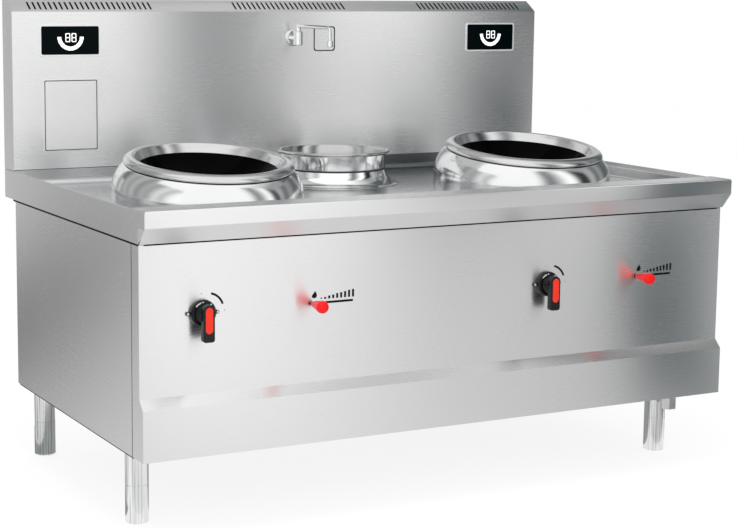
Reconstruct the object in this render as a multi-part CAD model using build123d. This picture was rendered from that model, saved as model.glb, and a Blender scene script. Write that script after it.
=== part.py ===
from build123d import *
import os
from math import asin, cos, degrees, radians, sin, sqrt, tan

os.makedirs("parts", exist_ok=True)

# ---------------------------------------------------------------- driving dimensions (mm)
# overall
WIDTH = 1800.0              # worktop, side to side
DEPTH = 1100.0              # worktop, front face to back face
RIM_Z = 838.0               # top of the worktop rim above the floor
CABINET_BOTTOM_Z = 211.5    # lower edge of the cabinet panels
SHEET = 1.5                 # cabinet sheet
GAP = 1.0                   # shadow gap between neighbouring cabinet panels
SEAM = 0.5                  # assembly clearance between sheet parts

# worktop tray
TRAY_SHEET = 2.0
RIM_FACE = 42.0             # upright part of the front edge
RIM_UNDERCUT_Z = 43.0       # height of the slope under it
RIM_UNDERCUT_Y = 36.0       # how far that slope runs back
APRON = 88.0                # flat top behind the front edge
BASIN_DROP = 44.5           # basin floor below the rim
RIM_BEVEL = 14.0            # inner bevel of the side rims
RIM_LEAN = 4.0              # lean of the side walls below the bevel
COVE_R = 16.0               # rounded foot of the basin's back wall
BURNER_HOLE_R = 225.0
TRAY_SHADOW_GAP = 2.5       # dark line between tray and cabinet panels

# cabinet
PANEL_SETBACK = 43.0        # front panel behind the rim face
PANEL_RETURN = 48.0         # folded sides of the front panel
KICK_TOP_Z = 367.0          # where the panel starts to slope out
KICK_LOW_Z = 343.0          # where it turns down again
KICK_OUT = 23.5             # how far the kick stands out
SIDE_INSET = 1.0            # side panels behind the tray's side faces
BACK_SETBACK = 95.0         # cabinet back in front of the tray's back edge
FLANGE = 20.0               # folded flanges of the panels
FRAME_LEG = 40.0            # leg of the frame's steel angle
FRAME_WALL = 3.0

# backsplash
SPLASH_DEPTH = 88.0
SPLASH_HEIGHT = 491.0       # above the worktop rim
SPLASH_SLOPE_DROP = 33.0    # from the top to the fold of the front face
SPLASH_SLOPE_Y = 51.0       # depth of the sloped top
LOUVRE_COUNT = 24
LOUVRE_PITCH = 16.3
LOUVRE_WIDTH = 6.0
LOUVRE_LENGTH = 38.0        # measured on the slope
LOUVRE_INSET = 246.0        # centre of the outer groups from the sides

# burners
BURNER_X = 515.0
BURNER_Y = 500.0            # behind the rim face
BURNER_TILT = 6.8           # degrees, towards the cook
COLLAR_R = 264.0            # widest radius of the spun collar
COLLAR_BELLY_H = 22.0       # where the belly starts to close, along the tilted axis
COLLAR_TOP_R = 231.0
COLLAR_TOP_H = 96.0
COLLAR_WALL = 2.5
RING_R = 234.5
RING_CREST_R = 211.0
RING_CREST_H = 116.0
RING_LIP_R = 203.5
RING_LIP_H = 112.0
RING_SEAM = 1.2             # shadow gap over the collar
RING_SEAT_R = 206.0
BOWL_RIM_R = 192.4
BOWL_RIM_H = 90.0
BOWL_DEPTH = 95.0
BOWL_WALL = 5.0
COIL_TURNS = 11
COIL_WIRE_W = 9.0
COIL_WIRE_T = 6.0
COIL_AIR_GAP = 1.5
COIL_START = 10.0           # degrees from the bowl's lowest point
COIL_WIRE_GAP = 5.0         # between neighbouring turns
CARRIER_WALL = 4.0
FERRITE_COUNT = 8
FERRITE_T = 6.0
FERRITE_W = 16.0
POST_R = 7.0
POST_OFFSET = 110.0
SHELF_DROP = 198.0          # top of the bars that carry the coils, below the rim
TRAY_BEAM_X = 265.0

# tail pot
TAIL_TO_SPLASH = 277.0      # tail pot's axis to the backsplash
POT_BAND_R = 155.5
POT_BAND_RISE = 2.0         # band's lower edge above the worktop rim
POT_BAND_H = 42.0
POT_LIP_H = 12.0
POT_LIP_R = 168.0
POT_BODY_R = 143.0
POT_WALL = 2.5
POT_DEPTH = 190.0           # below the band
POT_CORNER_R = 30.0
TAIL_TOP_R = 153.0
TAIL_FOOT_R = 196.5
TAIL_HOLE_R = 152.0
FLOOR_SEAM_EDGE = 26.0      # welded seams of the basin floor, outside the tail collar's foot

# controls, offsets from the burner's centre
CONTROL_Z = 572.0
ISOLATOR_DX = -216.0
LEVER_DX = 90.0
LEVER_TRAVEL = 110.0
ISO_BASE_R = 34.0
ISO_BASE_H = 14.0
ISO_EAR_X = 40.0
ISO_EAR_R = 5.0
ISO_HUB_R = 24.0
ISO_EAR_T = 5.0
ISO_EAR_HOLE_R = 2.0
ISO_BODY_W = 60.0
ISO_BODY_T = 42.0
ISO_SHAFT_R = 4.0
ISO_SHAFT_DEPTH = 30.0
RUNNING_FIT = 0.05
HANDLE_FACE = 46.0          # front of the handle from the panel
HANDLE_GRIP_T = 17.0
HANDLE_WIDTH = 30.0
HANDLE_UP = 26.0
HANDLE_DOWN = 68.0
INLAY_WIDTH = 20.0
INLAY_UP = 20.0
INLAY_DOWN = 46.0
INLAY_T = 1.5
KNOB_GAP = 9.0              # knob's small end from the panel
KNOB_LENGTH = 62.0
KNOB_SMALL_R = 8.5
KNOB_BIG_R = 16.5
KNOB_DOME = 14.0
BLADE_IN_KNOB = 30.0
BLADE_W = 10.0
BLADE_T = 3.0
LEVER_SLOT_H = 4.0
CARRIAGE_W = 24.0
CARRIAGE_H = 34.0
CARRIAGE_T = 14.0
CARRIAGE_GAP = 6.0          # behind the panel
GUIDE_ROD_R = 3.0
GUIDE_ROD_DZ = 10.0
GUIDE_CHEEK = 3.0

# displays and faucet
DISPLAY_W = 176.0
DISPLAY_H = 82.0
DISPLAY_DROP = 116.5        # centre below the backsplash's top
DISPLAY_INSET = 175.0       # centre from the sides
DISPLAY_GLASS = 2.0
DISPLAY_BODY_INSET = 8.0
DISPLAY_BODY_T = 18.0
FAUCET_DROP = 114.5         # flange centre below the backsplash's top
FAUCET_OUT = 40.0           # swivel axis in front of the backsplash
FAUCET_FLANGE_R = 25.0
FAUCET_BODY_R = 14.0
FAUCET_BODY_H = 42.0
FAUCET_NECK_R = 9.0
SPOUT_REACH = 208.0
SPOUT_R = 5.5
SPOUT_BORE = 4.0
SPOUT_HUB_R = 8.5
SPOUT_HUB_H = 23.0
SPOUT_PIN_R = 6.0
SPOUT_PIN_H = 14.0
SPOUT_RISE = 16.5           # arm above the hub's foot
SPOUT_DROP = 57.0
SPOUT_BEND_R = 16.0
NOZZLE_R = 10.0
NOZZLE_H = 18.0
PIPE_R = 8.0
PIPE_BEND_R = 30.0
INLET_DROP = 148.0          # threaded end below the rim
INLET_R = 10.5
INLET_BORE_R = 6.0
INLET_THREAD = 26.0
INLET_NUT_R = 14.0
INLET_NUT_T = 12.0

# legs, drain, gland
LEG_SIDE_INSET = 66.0       # leg centres from the worktop's sides
LEG_FRONT_INSET = 228.0
LEG_BACK_INSET = 43.0       # from the cabinet's back
LEG_R = 30.5
LEG_WALL = 2.0
LEG_JOINT_Z = 101.5
LEG_FLANGE_R = 42.0
LEG_FLANGE_T = 4.0
FOOT_STEM_R = 12.0
FOOT_STEM_H = 70.0
FOOT_WALL = 3.0
FOOT_END = 8.0              # solid ends of the foot
DRAIN_SIDE_INSET = 78.0
DRAIN_Y = 150.0
DRAIN_PIPE_R = 13.0
DRAIN_WALL = 2.5
DRAIN_FLANGE_R = 24.0
HEX_AF = 40.0
HEX_H = 34.0
HEX_LOW_Z = 143.0
GLAND_INSET = 160.0         # from the worktop's right side
GLAND_RISE = 88.5           # above the cabinet's lower edge
GLAND_R = 18.0
GLAND_BORE = 9.0

# power generators and their fans
MODULE_W = 400.0
MODULE_D = 380.0
MODULE_H = 240.0
MODULE_WALL = 2.0
FIN_COUNT = 9               # heat sink on top of the generator
FIN_T = 4.0
FIN_H = 30.0
FIN_SIDE_INSET = 30.0
FIN_END_INSET = 20.0
INLET_COUNT = 9             # air slots in the base plate, below each generator
INLET_W = 10.0
INLET_LENGTH = 160.0
INLET_PITCH = 30.0
INLET_AHEAD = 100.0         # of the generator's front
FAN_SIZE = 172.0
FAN_T = 51.0
FAN_DUCT_R = 80.0
FAN_TIP_GAP = 3.0
FAN_HUB_R = 34.0
FAN_BLADES = 7
FAN_SHAFT_R = 4.0

# ---------------------------------------------------------------- derived places
PANEL_T = SHEET
KNOB_OVERHANG = KNOB_GAP + KNOB_LENGTH - PANEL_SETBACK
FRONT = (KNOB_OVERHANG - DEPTH) / 2       # rim face, so that the whole is centred on Y = 0
BACK = FRONT + DEPTH
HALF = WIDTH / 2
BASIN_Z = RIM_Z - BASIN_DROP
TRAY_LOW_Z = RIM_Z - RIM_FACE - RIM_UNDERCUT_Z
PANEL_TOP_Z = TRAY_LOW_Z - TRAY_SHADOW_GAP
PANEL_Y = FRONT + PANEL_SETBACK
PANEL_IN_Y = PANEL_Y + PANEL_T
KICK_Y = PANEL_Y - KICK_OUT
CABINET_BACK_Y = BACK - BACK_SETBACK
SIDE_X = HALF - SIDE_INSET
SIDE_IN_X = SIDE_X - SHEET
SPLASH_Y = BACK - SPLASH_DEPTH
TAIL_Y = SPLASH_Y - TAIL_TO_SPLASH
POT_BAND_LOW_Z = RIM_Z + POT_BAND_RISE
POT_LIP_LOW_Z = POT_BAND_LOW_Z + POT_BAND_H
SPLASH_TOP_Z = RIM_Z + SPLASH_HEIGHT
SPLASH_FOLD_Z = SPLASH_TOP_Z - SPLASH_SLOPE_DROP
LOUVRE_GROUP_X = HALF - LOUVRE_INSET
DISPLAY_X = HALF - DISPLAY_INSET
DISPLAY_Z = SPLASH_TOP_Z - DISPLAY_DROP
FAUCET_Z = SPLASH_TOP_Z - FAUCET_DROP
FAUCET_TOP_Z = FAUCET_Z + FAUCET_BODY_H / 2
SPOUT_Z = FAUCET_TOP_Z + SPOUT_RISE
PIPE_Y = SPLASH_Y + SPLASH_DEPTH / 2
INLET_Z = RIM_Z - INLET_DROP
LEG_X = HALF - LEG_SIDE_INSET
LEG_Y = {"front": FRONT + LEG_FRONT_INSET, "back": CABINET_BACK_Y - LEG_BACK_INSET}
DRAIN_X = HALF - DRAIN_SIDE_INSET
GLAND_X = HALF - GLAND_INSET
GLAND_Z = CABINET_BOTTOM_Z + GLAND_RISE
GLAND_THREAD_R = GLAND_R - 5
SHELF_Z = RIM_Z - SHELF_DROP
POST_LEAN = (BASIN_Z - SHELF_Z) * tan(radians(BURNER_TILT))
POST_FEET = [FRONT + BURNER_Y + POST_LEAN + s * POST_OFFSET / cos(radians(BURNER_TILT)) for s in (-1, 1)]
SHELF_BARS = [y - FRAME_LEG / 2 for y in POST_FEET]
CARRIAGE_Y = PANEL_IN_Y + CARRIAGE_GAP
GUIDE_Y = CARRIAGE_Y + CARRIAGE_T / 2
LIP_IN_R = POT_LIP_R - POT_LIP_H / 2
TRAY_UNDER_Z = BASIN_Z - TRAY_SHEET
BASE_Z = CABINET_BOTTOM_Z + SHEET         # underside of the base plate
BASE_TOP_Z = BASE_Z + SHEET
FAN_Z = BASE_TOP_Z + MODULE_H / 2 + 10
FAN_Y = CABINET_BACK_Y - SHEET - FAN_T    # fan against the grille of the back panel
MODULE_FRONT_Y = FAN_Y - MODULE_D
SIDES = {"left": -1, "right": 1}
COIL_STEP = COIL_WIRE_W + COIL_WIRE_GAP
FLOOR_SEAM_X = TAIL_FOOT_R + FLOOR_SEAM_EDGE
FLOOR_SECTIONS = {"left": (-HALF, -FLOOR_SEAM_X), "centre": (-FLOOR_SEAM_X, FLOOR_SEAM_X),
                  "right": (FLOOR_SEAM_X, HALF)}
BOWL_SPHERE_R = (BOWL_RIM_R ** 2 + BOWL_DEPTH ** 2) / (2 * BOWL_DEPTH)
BOWL_CENTRE_H = BOWL_RIM_H - BOWL_DEPTH + BOWL_SPHERE_R


# ---------------------------------------------------------------- helpers
def save(name, shape):
    """One node is one STEP file."""
    export_step(shape, f"parts/{name}.step")


def yz_bar(points, x_low, x_high):
    """A prism along X from a closed outline of (y, z) points."""
    face = make_face(Plane.YZ * Polyline(points, close=True))
    return Pos(x_low, 0, 0) * extrude(face, amount=x_high - x_low, dir=(1, 0, 0))


def xz_bar(points, y_low, y_high):
    """A prism along Y from a closed outline of (x, z) points."""
    face = make_face(Plane.XZ * Polyline(points, close=True))
    return Pos(0, y_low, 0) * extrude(face, amount=y_high - y_low, dir=(0, 1, 0))


def block(x0, x1, y0, y1, z0, z1):
    """A box from its corner values."""
    return Pos((x0 + x1) / 2, (y0 + y1) / 2, (z0 + z1) / 2) * Box(x1 - x0, y1 - y0, z1 - z0)


def turned(lines):
    """A solid of revolution about Z from edges drawn as (radius, height)."""
    return revolve(make_face(Plane.XZ * lines), axis=Axis.Z)


def rod_y(x, z, y0, y1, radius):
    """A round bar along Y."""
    return Pos(x, (y0 + y1) / 2, z) * Rot(90, 0, 0) * Cylinder(radius, y1 - y0)


def rod_x(y, z, x0, x1, radius):
    """A round bar along X."""
    return Pos((x0 + x1) / 2, y, z) * Rot(0, 90, 0) * Cylinder(radius, x1 - x0)


def rod_z(x, y, z0, z1, radius):
    """A round bar along Z."""
    return Pos(x, y, (z0 + z1) / 2) * Cylinder(radius, z1 - z0)


def burner_frame(side):
    """The tilted axis of a burner, from the basin floor upwards."""
    return Pos(SIDES[side] * BURNER_X, FRONT + BURNER_Y, BASIN_Z) * Rot(BURNER_TILT, 0, 0)


# ---------------------------------------------------------------- worktop tray
def floor_plate():
    """Outline of the basin floor, from the apron's wall to the cove and between the side walls."""
    foot_x = HALF - RIM_BEVEL - RIM_LEAN
    return block(-foot_x, foot_x, FRONT + APRON, SPLASH_Y - COVE_R, TRAY_UNDER_Z, BASIN_Z)


def basin_floor(section):
    """One length of the floor sheet, welded into the rim, with the holes that fall on it."""
    x_low, x_high = FLOOR_SECTIONS[section]
    floor = floor_plate() & block(x_low, x_high, FRONT, BACK, TRAY_UNDER_Z, BASIN_Z)
    if section in SIDES:
        floor -= rod_z(SIDES[section] * BURNER_X, FRONT + BURNER_Y, TRAY_LOW_Z, RIM_Z, BURNER_HOLE_R)
    if section == "centre":
        floor -= rod_z(0, TAIL_Y, TRAY_LOW_Z, RIM_Z, TAIL_HOLE_R)
    if section == "right":
        floor -= rod_z(DRAIN_X, FRONT + DRAIN_Y, TRAY_LOW_Z, RIM_Z, DRAIN_PIPE_R + SEAM)
    return floor


def worktop_rim():
    """Folded stainless rim: sloped front edge, flat apron, side and back walls, hollow below."""
    t = TRAY_SHEET
    wall_back = SPLASH_Y
    outline = [(FRONT, RIM_Z), (FRONT, RIM_Z - RIM_FACE), (FRONT + RIM_UNDERCUT_Y, TRAY_LOW_Z),
               (BACK, TRAY_LOW_Z), (BACK, RIM_Z)]
    tray = yz_bar(outline, -HALF, HALF)
    apron_y = FRONT + APRON
    bevel_x, bevel_z = HALF - RIM_BEVEL, RIM_Z - RIM_BEVEL
    foot_x = bevel_x - RIM_LEAN
    basin = xz_bar([(-HALF, RIM_Z), (-bevel_x, bevel_z), (-foot_x, BASIN_Z), (foot_x, BASIN_Z),
                    (bevel_x, bevel_z), (HALF, RIM_Z)], apron_y, wall_back)
    cove = basin.edges().filter_by(Axis.X).sort_by(Axis.Z)[:2].sort_by(Axis.Y)[-1]
    tray -= fillet(cove, COVE_R)
    under = [(FRONT + t, RIM_Z - t), (FRONT + t, RIM_Z - RIM_FACE), (FRONT + RIM_UNDERCUT_Y + t, TRAY_LOW_Z),
             (BACK - t, TRAY_LOW_Z), (BACK - t, RIM_Z - t), (wall_back + t, RIM_Z - t),
             (wall_back + t, TRAY_UNDER_Z), (apron_y - t, TRAY_UNDER_Z), (apron_y - t, RIM_Z - t)]
    tray -= yz_bar(under, -HALF + t, HALF - t)
    for s in (-1, 1):
        rim_hollow = [(s * (HALF - t), TRAY_UNDER_Z), (s * (HALF - t), RIM_Z - 2 * t),
                      (s * (bevel_x + t), bevel_z), (s * (foot_x + t), TRAY_UNDER_Z)]
        tray -= xz_bar(rim_hollow, apron_y, wall_back)
    tray -= rod_z(0, PIPE_Y, TRAY_LOW_Z, RIM_Z + 1, PIPE_R + SEAM)
    return tray - floor_plate()


# ---------------------------------------------------------------- backsplash
def slope_frame():
    """Plane origin at the middle of the sloped top, Z outwards."""
    angle = degrees(asin((SPLASH_TOP_Z - SPLASH_FOLD_Z)
                         / sqrt((SPLASH_TOP_Z - SPLASH_FOLD_Z) ** 2 + SPLASH_SLOPE_Y ** 2)))
    return Pos(0, SPLASH_Y + SPLASH_SLOPE_Y / 2, (SPLASH_FOLD_Z + SPLASH_TOP_Z) / 2) * Rot(angle, 0, 0)


def backsplash_housing():
    """Full-width sheet housing with a louvred slope, open at the back."""
    t = SHEET
    back = BACK - t
    outer = [(SPLASH_Y, RIM_Z), (SPLASH_Y, SPLASH_FOLD_Z), (SPLASH_Y + SPLASH_SLOPE_Y, SPLASH_TOP_Z),
             (back, SPLASH_TOP_Z), (back, RIM_Z)]
    inner = [(SPLASH_Y + t, RIM_Z + t), (SPLASH_Y + t, SPLASH_FOLD_Z - t / 2),
             (SPLASH_Y + SPLASH_SLOPE_Y + t / 2, SPLASH_TOP_Z - t), (back + 1, SPLASH_TOP_Z - t),
             (back + 1, RIM_Z + t)]
    housing = yz_bar(outer, -HALF, HALF) - yz_bar(inner, -HALF + t, HALF - t)
    slot = Box(LOUVRE_WIDTH, LOUVRE_LENGTH, 6 * t)
    for group_x in (-LOUVRE_GROUP_X, 0, LOUVRE_GROUP_X):
        xs = [group_x + (i - (LOUVRE_COUNT - 1) / 2) * LOUVRE_PITCH for i in range(LOUVRE_COUNT)]
        housing -= [Pos(x, 0, 0) * slope_frame() * slot for x in xs]
    for s in (-1, 1):
        window_w = DISPLAY_W - 2 * DISPLAY_BODY_INSET + 2 * SEAM
        window_h = DISPLAY_H - 2 * DISPLAY_BODY_INSET + 2 * SEAM
        housing -= Pos(s * DISPLAY_X, SPLASH_Y, DISPLAY_Z) * Box(window_w, 6 * t, window_h)
    housing -= rod_y(0, FAUCET_Z, SPLASH_Y - t, SPLASH_Y + 2 * t, PIPE_R + SEAM)
    housing -= rod_z(0, PIPE_Y, RIM_Z - t, RIM_Z + 2 * t, PIPE_R + SEAM)
    return housing


def backsplash_rear_cover():
    """Flat lid that closes the housing from behind."""
    return block(-HALF, HALF, BACK - SHEET, BACK, RIM_Z, SPLASH_TOP_Z)


# ---------------------------------------------------------------- cabinet
def front_panel():
    """Fascia with folded returns and the stepped kick, with the control cut-outs."""
    t = PANEL_T
    back = PANEL_Y + PANEL_RETURN
    low = CABINET_BOTTOM_Z
    outer = [(PANEL_Y, PANEL_TOP_Z), (PANEL_Y, KICK_TOP_Z), (KICK_Y, KICK_LOW_Z), (KICK_Y, low),
             (back, low), (back, PANEL_TOP_Z)]
    inner = [(PANEL_Y + t, PANEL_TOP_Z - t), (PANEL_Y + t, KICK_TOP_Z - t / 2),
             (KICK_Y + t, KICK_LOW_Z - t / 2), (KICK_Y + t, low + t), (back + 1, low + t),
             (back + 1, PANEL_TOP_Z - t)]
    panel = yz_bar(outer, -SIDE_X, SIDE_X) - yz_bar(inner, -SIDE_X + t, SIDE_X - t)
    panel -= block(-SIDE_IN_X, SIDE_IN_X, PANEL_Y + FLANGE, back + 1, PANEL_TOP_Z - 2 * t, PANEL_TOP_Z + 1)
    for s in (-1, 1):
        notch = sorted((s * (SIDE_IN_X - FRAME_LEG - GAP), s * SIDE_IN_X))
        panel -= block(notch[0], notch[1], PANEL_IN_Y, back, PANEL_TOP_Z - 2 * t, PANEL_TOP_Z + 1)
    for side in SIDES:
        cx = SIDES[side] * BURNER_X
        panel -= rod_y(cx + ISOLATOR_DX, CONTROL_Z, PANEL_Y - t, PANEL_Y + 2 * t, ISO_SHAFT_R + 2)
        slot_low = cx + LEVER_DX - BLADE_W / 2 - GAP
        slot_high = cx + LEVER_DX + LEVER_TRAVEL + BLADE_W / 2 + GAP
        panel -= block(slot_low, slot_high, PANEL_Y - t, PANEL_Y + 2 * t,
                       CONTROL_Z - LEVER_SLOT_H / 2, CONTROL_Z + LEVER_SLOT_H / 2)
    return panel


def side_panel(s):
    """Side sheet between the front panel's return and the cabinet's back, with inner flanges."""
    y0, y1 = PANEL_Y + PANEL_RETURN + GAP, CABINET_BACK_Y
    z0, z1 = CABINET_BOTTOM_Z, PANEL_TOP_Z
    x = sorted((s * SIDE_X, s * SIDE_IN_X))
    panel = block(x[0], x[1], y0, y1, z0, z1)
    flange_x = sorted((s * SIDE_X, s * (SIDE_X - FLANGE)))
    return panel + block(flange_x[0], flange_x[1], y0, y1, z0, z0 + SHEET)


def back_panel():
    """Rear sheet with an exhaust grille behind each fan and the cable entry."""
    t = SHEET
    panel = block(-SIDE_IN_X, SIDE_IN_X, CABINET_BACK_Y - t, CABINET_BACK_Y,
                  CABINET_BOTTOM_Z + t, PANEL_TOP_Z)
    slot = Box(FAN_SIZE - 30, 4 * t, 9)
    slots = [Pos(s * BURNER_X, CABINET_BACK_Y, FAN_Z + dz) * slot
             for s in (-1, 1) for dz in range(-63, 64, 18)]
    panel -= slots
    return panel - rod_y(GLAND_X, GLAND_Z, CABINET_BACK_Y - 3 * t, CABINET_BACK_Y + t, GLAND_THREAD_R + SEAM)


def base_plate():
    """Bottom sheet, with air inlets under the generators and holes for the pipes."""
    plate = block(-SIDE_IN_X, SIDE_IN_X, PANEL_IN_Y, CABINET_BACK_Y - SHEET, BASE_Z, BASE_TOP_Z)
    slot = Box(INLET_W, INLET_LENGTH, 4 * SHEET)
    first = -INLET_PITCH * (INLET_COUNT - 1) / 2
    inlets = [Pos(s * BURNER_X + first + i * INLET_PITCH, MODULE_FRONT_Y - INLET_AHEAD, BASE_Z) * slot
              for s in (-1, 1) for i in range(INLET_COUNT)]
    plate -= inlets
    return plate - rod_z(DRAIN_X, FRONT + DRAIN_Y, BASE_Z - 1, BASE_TOP_Z + 1, DRAIN_PIPE_R + SEAM)


def angle_along(axis, a0, a1, b, c, flip_b, flip_c):
    """Equal-leg steel angle from a0 to a1 along an axis, heel at (b, c) on the other two axes."""
    leg, wall = FRAME_LEG, FRAME_WALL
    b_leg, b_wall = sorted((b, b + flip_b * leg)), sorted((b, b + flip_b * wall))
    c_leg, c_wall = sorted((c, c + flip_c * leg)), sorted((c, c + flip_c * wall))
    if axis == "x":
        return block(a0, a1, *b_leg, *c_wall) + block(a0, a1, *b_wall, *c_leg)
    if axis == "y":
        return block(*b_leg, a0, a1, *c_wall) + block(*b_wall, a0, a1, *c_leg)
    return block(*b_leg, *c_wall, a0, a1) + block(*b_wall, *c_leg, a0, a1)


def carcass_frame():
    """Welded angle frame: posts, bottom and top rings, and the bars that carry the coils."""
    x, y0, y1 = SIDE_IN_X, PANEL_IN_Y, CABINET_BACK_Y - SHEET
    top, low = TRAY_UNDER_Z, BASE_TOP_Z
    frame = Part()
    for s in (-1, 1):
        frame += angle_along("z", low, top, s * x, y0, -s, 1)
        frame += angle_along("z", low, top, s * x, y1, -s, -1)
        frame += angle_along("y", y0, y1, s * x, low, -s, 1)
        frame += angle_along("y", y0, y1, s * x, top, -s, -1)
        frame += angle_along("y", y0, y1, s * x, SHELF_Z, -s, -1)
        frame += angle_along("y", y0, y1, s * TRAY_BEAM_X, top, -s, -1)
    for y, flip in ((y0, 1), (y1, -1)):
        frame += angle_along("x", -x, x, y, low, flip, 1)
        frame += angle_along("x", -x, x, y, top, flip, -1)
    for y in SHELF_BARS:
        frame += angle_along("x", -x, x, y, SHELF_Z, 1, -1)
    return frame


# ---------------------------------------------------------------- burners
def wok_collar(side):
    """Spun collar: upright foot cut flat at the basin, belly, shoulder and a flange under the ring."""
    t = COLLAR_WALL
    rise = COLLAR_TOP_H - COLLAR_BELLY_H
    inward = COLLAR_R - COLLAR_TOP_R
    arc_r = (inward ** 2 + rise ** 2) / (2 * inward)
    centre_r = COLLAR_R - arc_r
    foot_h = -2 * COLLAR_R * sin(radians(BURNER_TILT))

    def belly(radius, top_h):
        half = asin((top_h - COLLAR_BELLY_H) / radius) / 2
        mid = (centre_r + radius * cos(half), COLLAR_BELLY_H + radius * sin(half))
        end = (centre_r + radius * cos(2 * half), top_h)
        return mid, end

    mid, end = belly(arc_r, COLLAR_TOP_H)
    in_mid, in_end = belly(arc_r - t, COLLAR_TOP_H - t)
    outline = Line((COLLAR_R, foot_h), (COLLAR_R, COLLAR_BELLY_H))
    outline += ThreePointArc((COLLAR_R, COLLAR_BELLY_H), mid, end)
    outline += Polyline(end, (RING_SEAT_R, COLLAR_TOP_H), (RING_SEAT_R, COLLAR_TOP_H - t), in_end)
    outline += ThreePointArc(in_end, in_mid, (COLLAR_R - t, COLLAR_BELLY_H))
    outline += Polyline((COLLAR_R - t, COLLAR_BELLY_H), (COLLAR_R - t, foot_h), (COLLAR_R, foot_h))
    collar = burner_frame(side) * turned(outline)
    return split(collar, bisect_by=Plane((0, 0, BASIN_Z), z_dir=(0, 0, 1)), keep=Keep.TOP)


def collar_ring(side):
    """Polished ring with a rounded crest and a funnel down to the bowl; sits on the collar's flange."""
    step_r = COLLAR_TOP_R - 2
    low = COLLAR_TOP_H + RING_SEAM
    crest_mid = ((RING_R + RING_CREST_R) / 2 + 6, (low + RING_CREST_H) / 2 + 4.5)
    lip_mid = ((RING_CREST_R + RING_LIP_R) / 2 - 1.5, (RING_CREST_H + RING_LIP_H) / 2 + 1)
    outline = ThreePointArc((RING_R, low), crest_mid, (RING_CREST_R, RING_CREST_H))
    outline += ThreePointArc((RING_CREST_R, RING_CREST_H), lip_mid, (RING_LIP_R, RING_LIP_H))
    outline += Polyline((RING_LIP_R, RING_LIP_H), (BOWL_RIM_R, BOWL_RIM_H),
                        (BOWL_RIM_R + BOWL_WALL + 1, BOWL_RIM_H), (RING_SEAT_R, COLLAR_TOP_H),
                        (step_r, COLLAR_TOP_H), (step_r, low), (RING_R, low))
    return burner_frame(side) * turned(outline)


def shell_arc(radius, angle_low, angle_high):
    """Arc on a sphere about the bowl's centre, with angles from its lowest point."""
    def at(angle):
        return (radius * sin(radians(angle)), BOWL_CENTRE_H - radius * cos(radians(angle)))
    return ThreePointArc(at(angle_low), at((angle_low + angle_high) / 2), at(angle_high))


def shell_section(r_in, r_out, angle_low, angle_high):
    """Closed section between two such arcs."""
    inner, outer = shell_arc(r_in, angle_low, angle_high), shell_arc(r_out, angle_low, angle_high)
    return inner + outer + Line(inner @ 0, outer @ 0) + Line(inner @ 1, outer @ 1)


def wok_bowl(side):
    """Glass-ceramic bowl, a spherical cap of even wall with a flat ground rim."""
    r_in, r_out = BOWL_SPHERE_R, BOWL_SPHERE_R + BOWL_WALL
    rim = BOWL_CENTRE_H - BOWL_RIM_H
    outer = Pos(0, 0, BOWL_CENTRE_H) * Sphere(r_out)
    outer -= Pos(0, 0, BOWL_CENTRE_H) * Sphere(r_in)
    cut = Pos(0, 0, BOWL_RIM_H + r_out) * Box(3 * r_out, 3 * r_out, 2 * r_out)
    return burner_frame(side) * (outer - cut)


def induction_coil(side):
    """Litz winding laid on the sphere under the bowl, one flat ring for each turn."""
    r_in = BOWL_SPHERE_R + BOWL_WALL + COIL_AIR_GAP
    step = degrees(COIL_STEP / r_in)
    width = degrees(COIL_WIRE_W / r_in)
    starts = [COIL_START + i * step for i in range(COIL_TURNS)]
    turns = [turned(shell_section(r_in, r_in + COIL_WIRE_T, start, start + width)) for start in starts]
    return burner_frame(side) * Compound(turns)


def coil_carrier(side):
    """Dish that holds the winding, with radial ferrite bars below and four posts to the frame."""
    r_in = BOWL_SPHERE_R + BOWL_WALL + COIL_AIR_GAP + COIL_WIRE_T
    r_out = r_in + CARRIER_WALL
    span = COIL_START + degrees(COIL_STEP * COIL_TURNS / r_in)
    dish = turned(shell_section(r_in, r_out, COIL_START - 2, span))
    section = shell_section(r_out - CARRIER_WALL / 2, r_out + FERRITE_T, COIL_START, span - 2)
    bar = make_face(Plane.XZ * section)
    bar = extrude(bar, amount=FERRITE_W / 2, both=True)
    dish += [Rot(0, 0, i * 360 / FERRITE_COUNT) * bar for i in range(FERRITE_COUNT)]
    post_top = BOWL_CENTRE_H - sqrt(r_out ** 2 - 2 * POST_OFFSET ** 2) + POST_R / 2
    post_low = SHELF_Z - BASIN_Z - 2 * POST_OFFSET * sin(radians(BURNER_TILT))
    posts = [rod_z(sx * POST_OFFSET, sy * POST_OFFSET, post_low, post_top, POST_R)
             for sx in (-1, 1) for sy in (-1, 1)]
    outer_ball = Pos(0, 0, BOWL_CENTRE_H) * Sphere(r_in + CARRIER_WALL / 2)
    dish += [post - outer_ball for post in posts]
    carrier = burner_frame(side) * dish
    return split(carrier, bisect_by=Plane((0, 0, SHELF_Z), z_dir=(0, 0, 1)), keep=Keep.TOP)


# ---------------------------------------------------------------- tail pot
def tail_collar():
    """Spun bell collar that carries the tail pot's band."""
    t = COLLAR_WALL
    low = BASIN_Z
    curve = [(TAIL_TOP_R, POT_BAND_LOW_Z), (TAIL_TOP_R + 5.5, low + 32), (TAIL_TOP_R + 14, low + 17),
             (TAIL_TOP_R + 26, low + 7.5), (TAIL_FOOT_R, low + t)]
    outline = Spline(curve)
    inner = [(r - t, z - 0.3 * t) for r, z in curve[1:4]]
    outline += Polyline(curve[-1], (TAIL_FOOT_R, low), (TAIL_HOLE_R + 8, low))
    outline += Spline([(TAIL_HOLE_R + 8, low), (inner[1][0], inner[1][1]), (inner[0][0], inner[0][1]),
                       (TAIL_TOP_R - t, POT_BAND_LOW_Z)])
    outline += Line((TAIL_TOP_R - t, POT_BAND_LOW_Z), (TAIL_TOP_R, POT_BAND_LOW_Z))
    return Pos(0, TAIL_Y, 0) * turned(outline)


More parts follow.
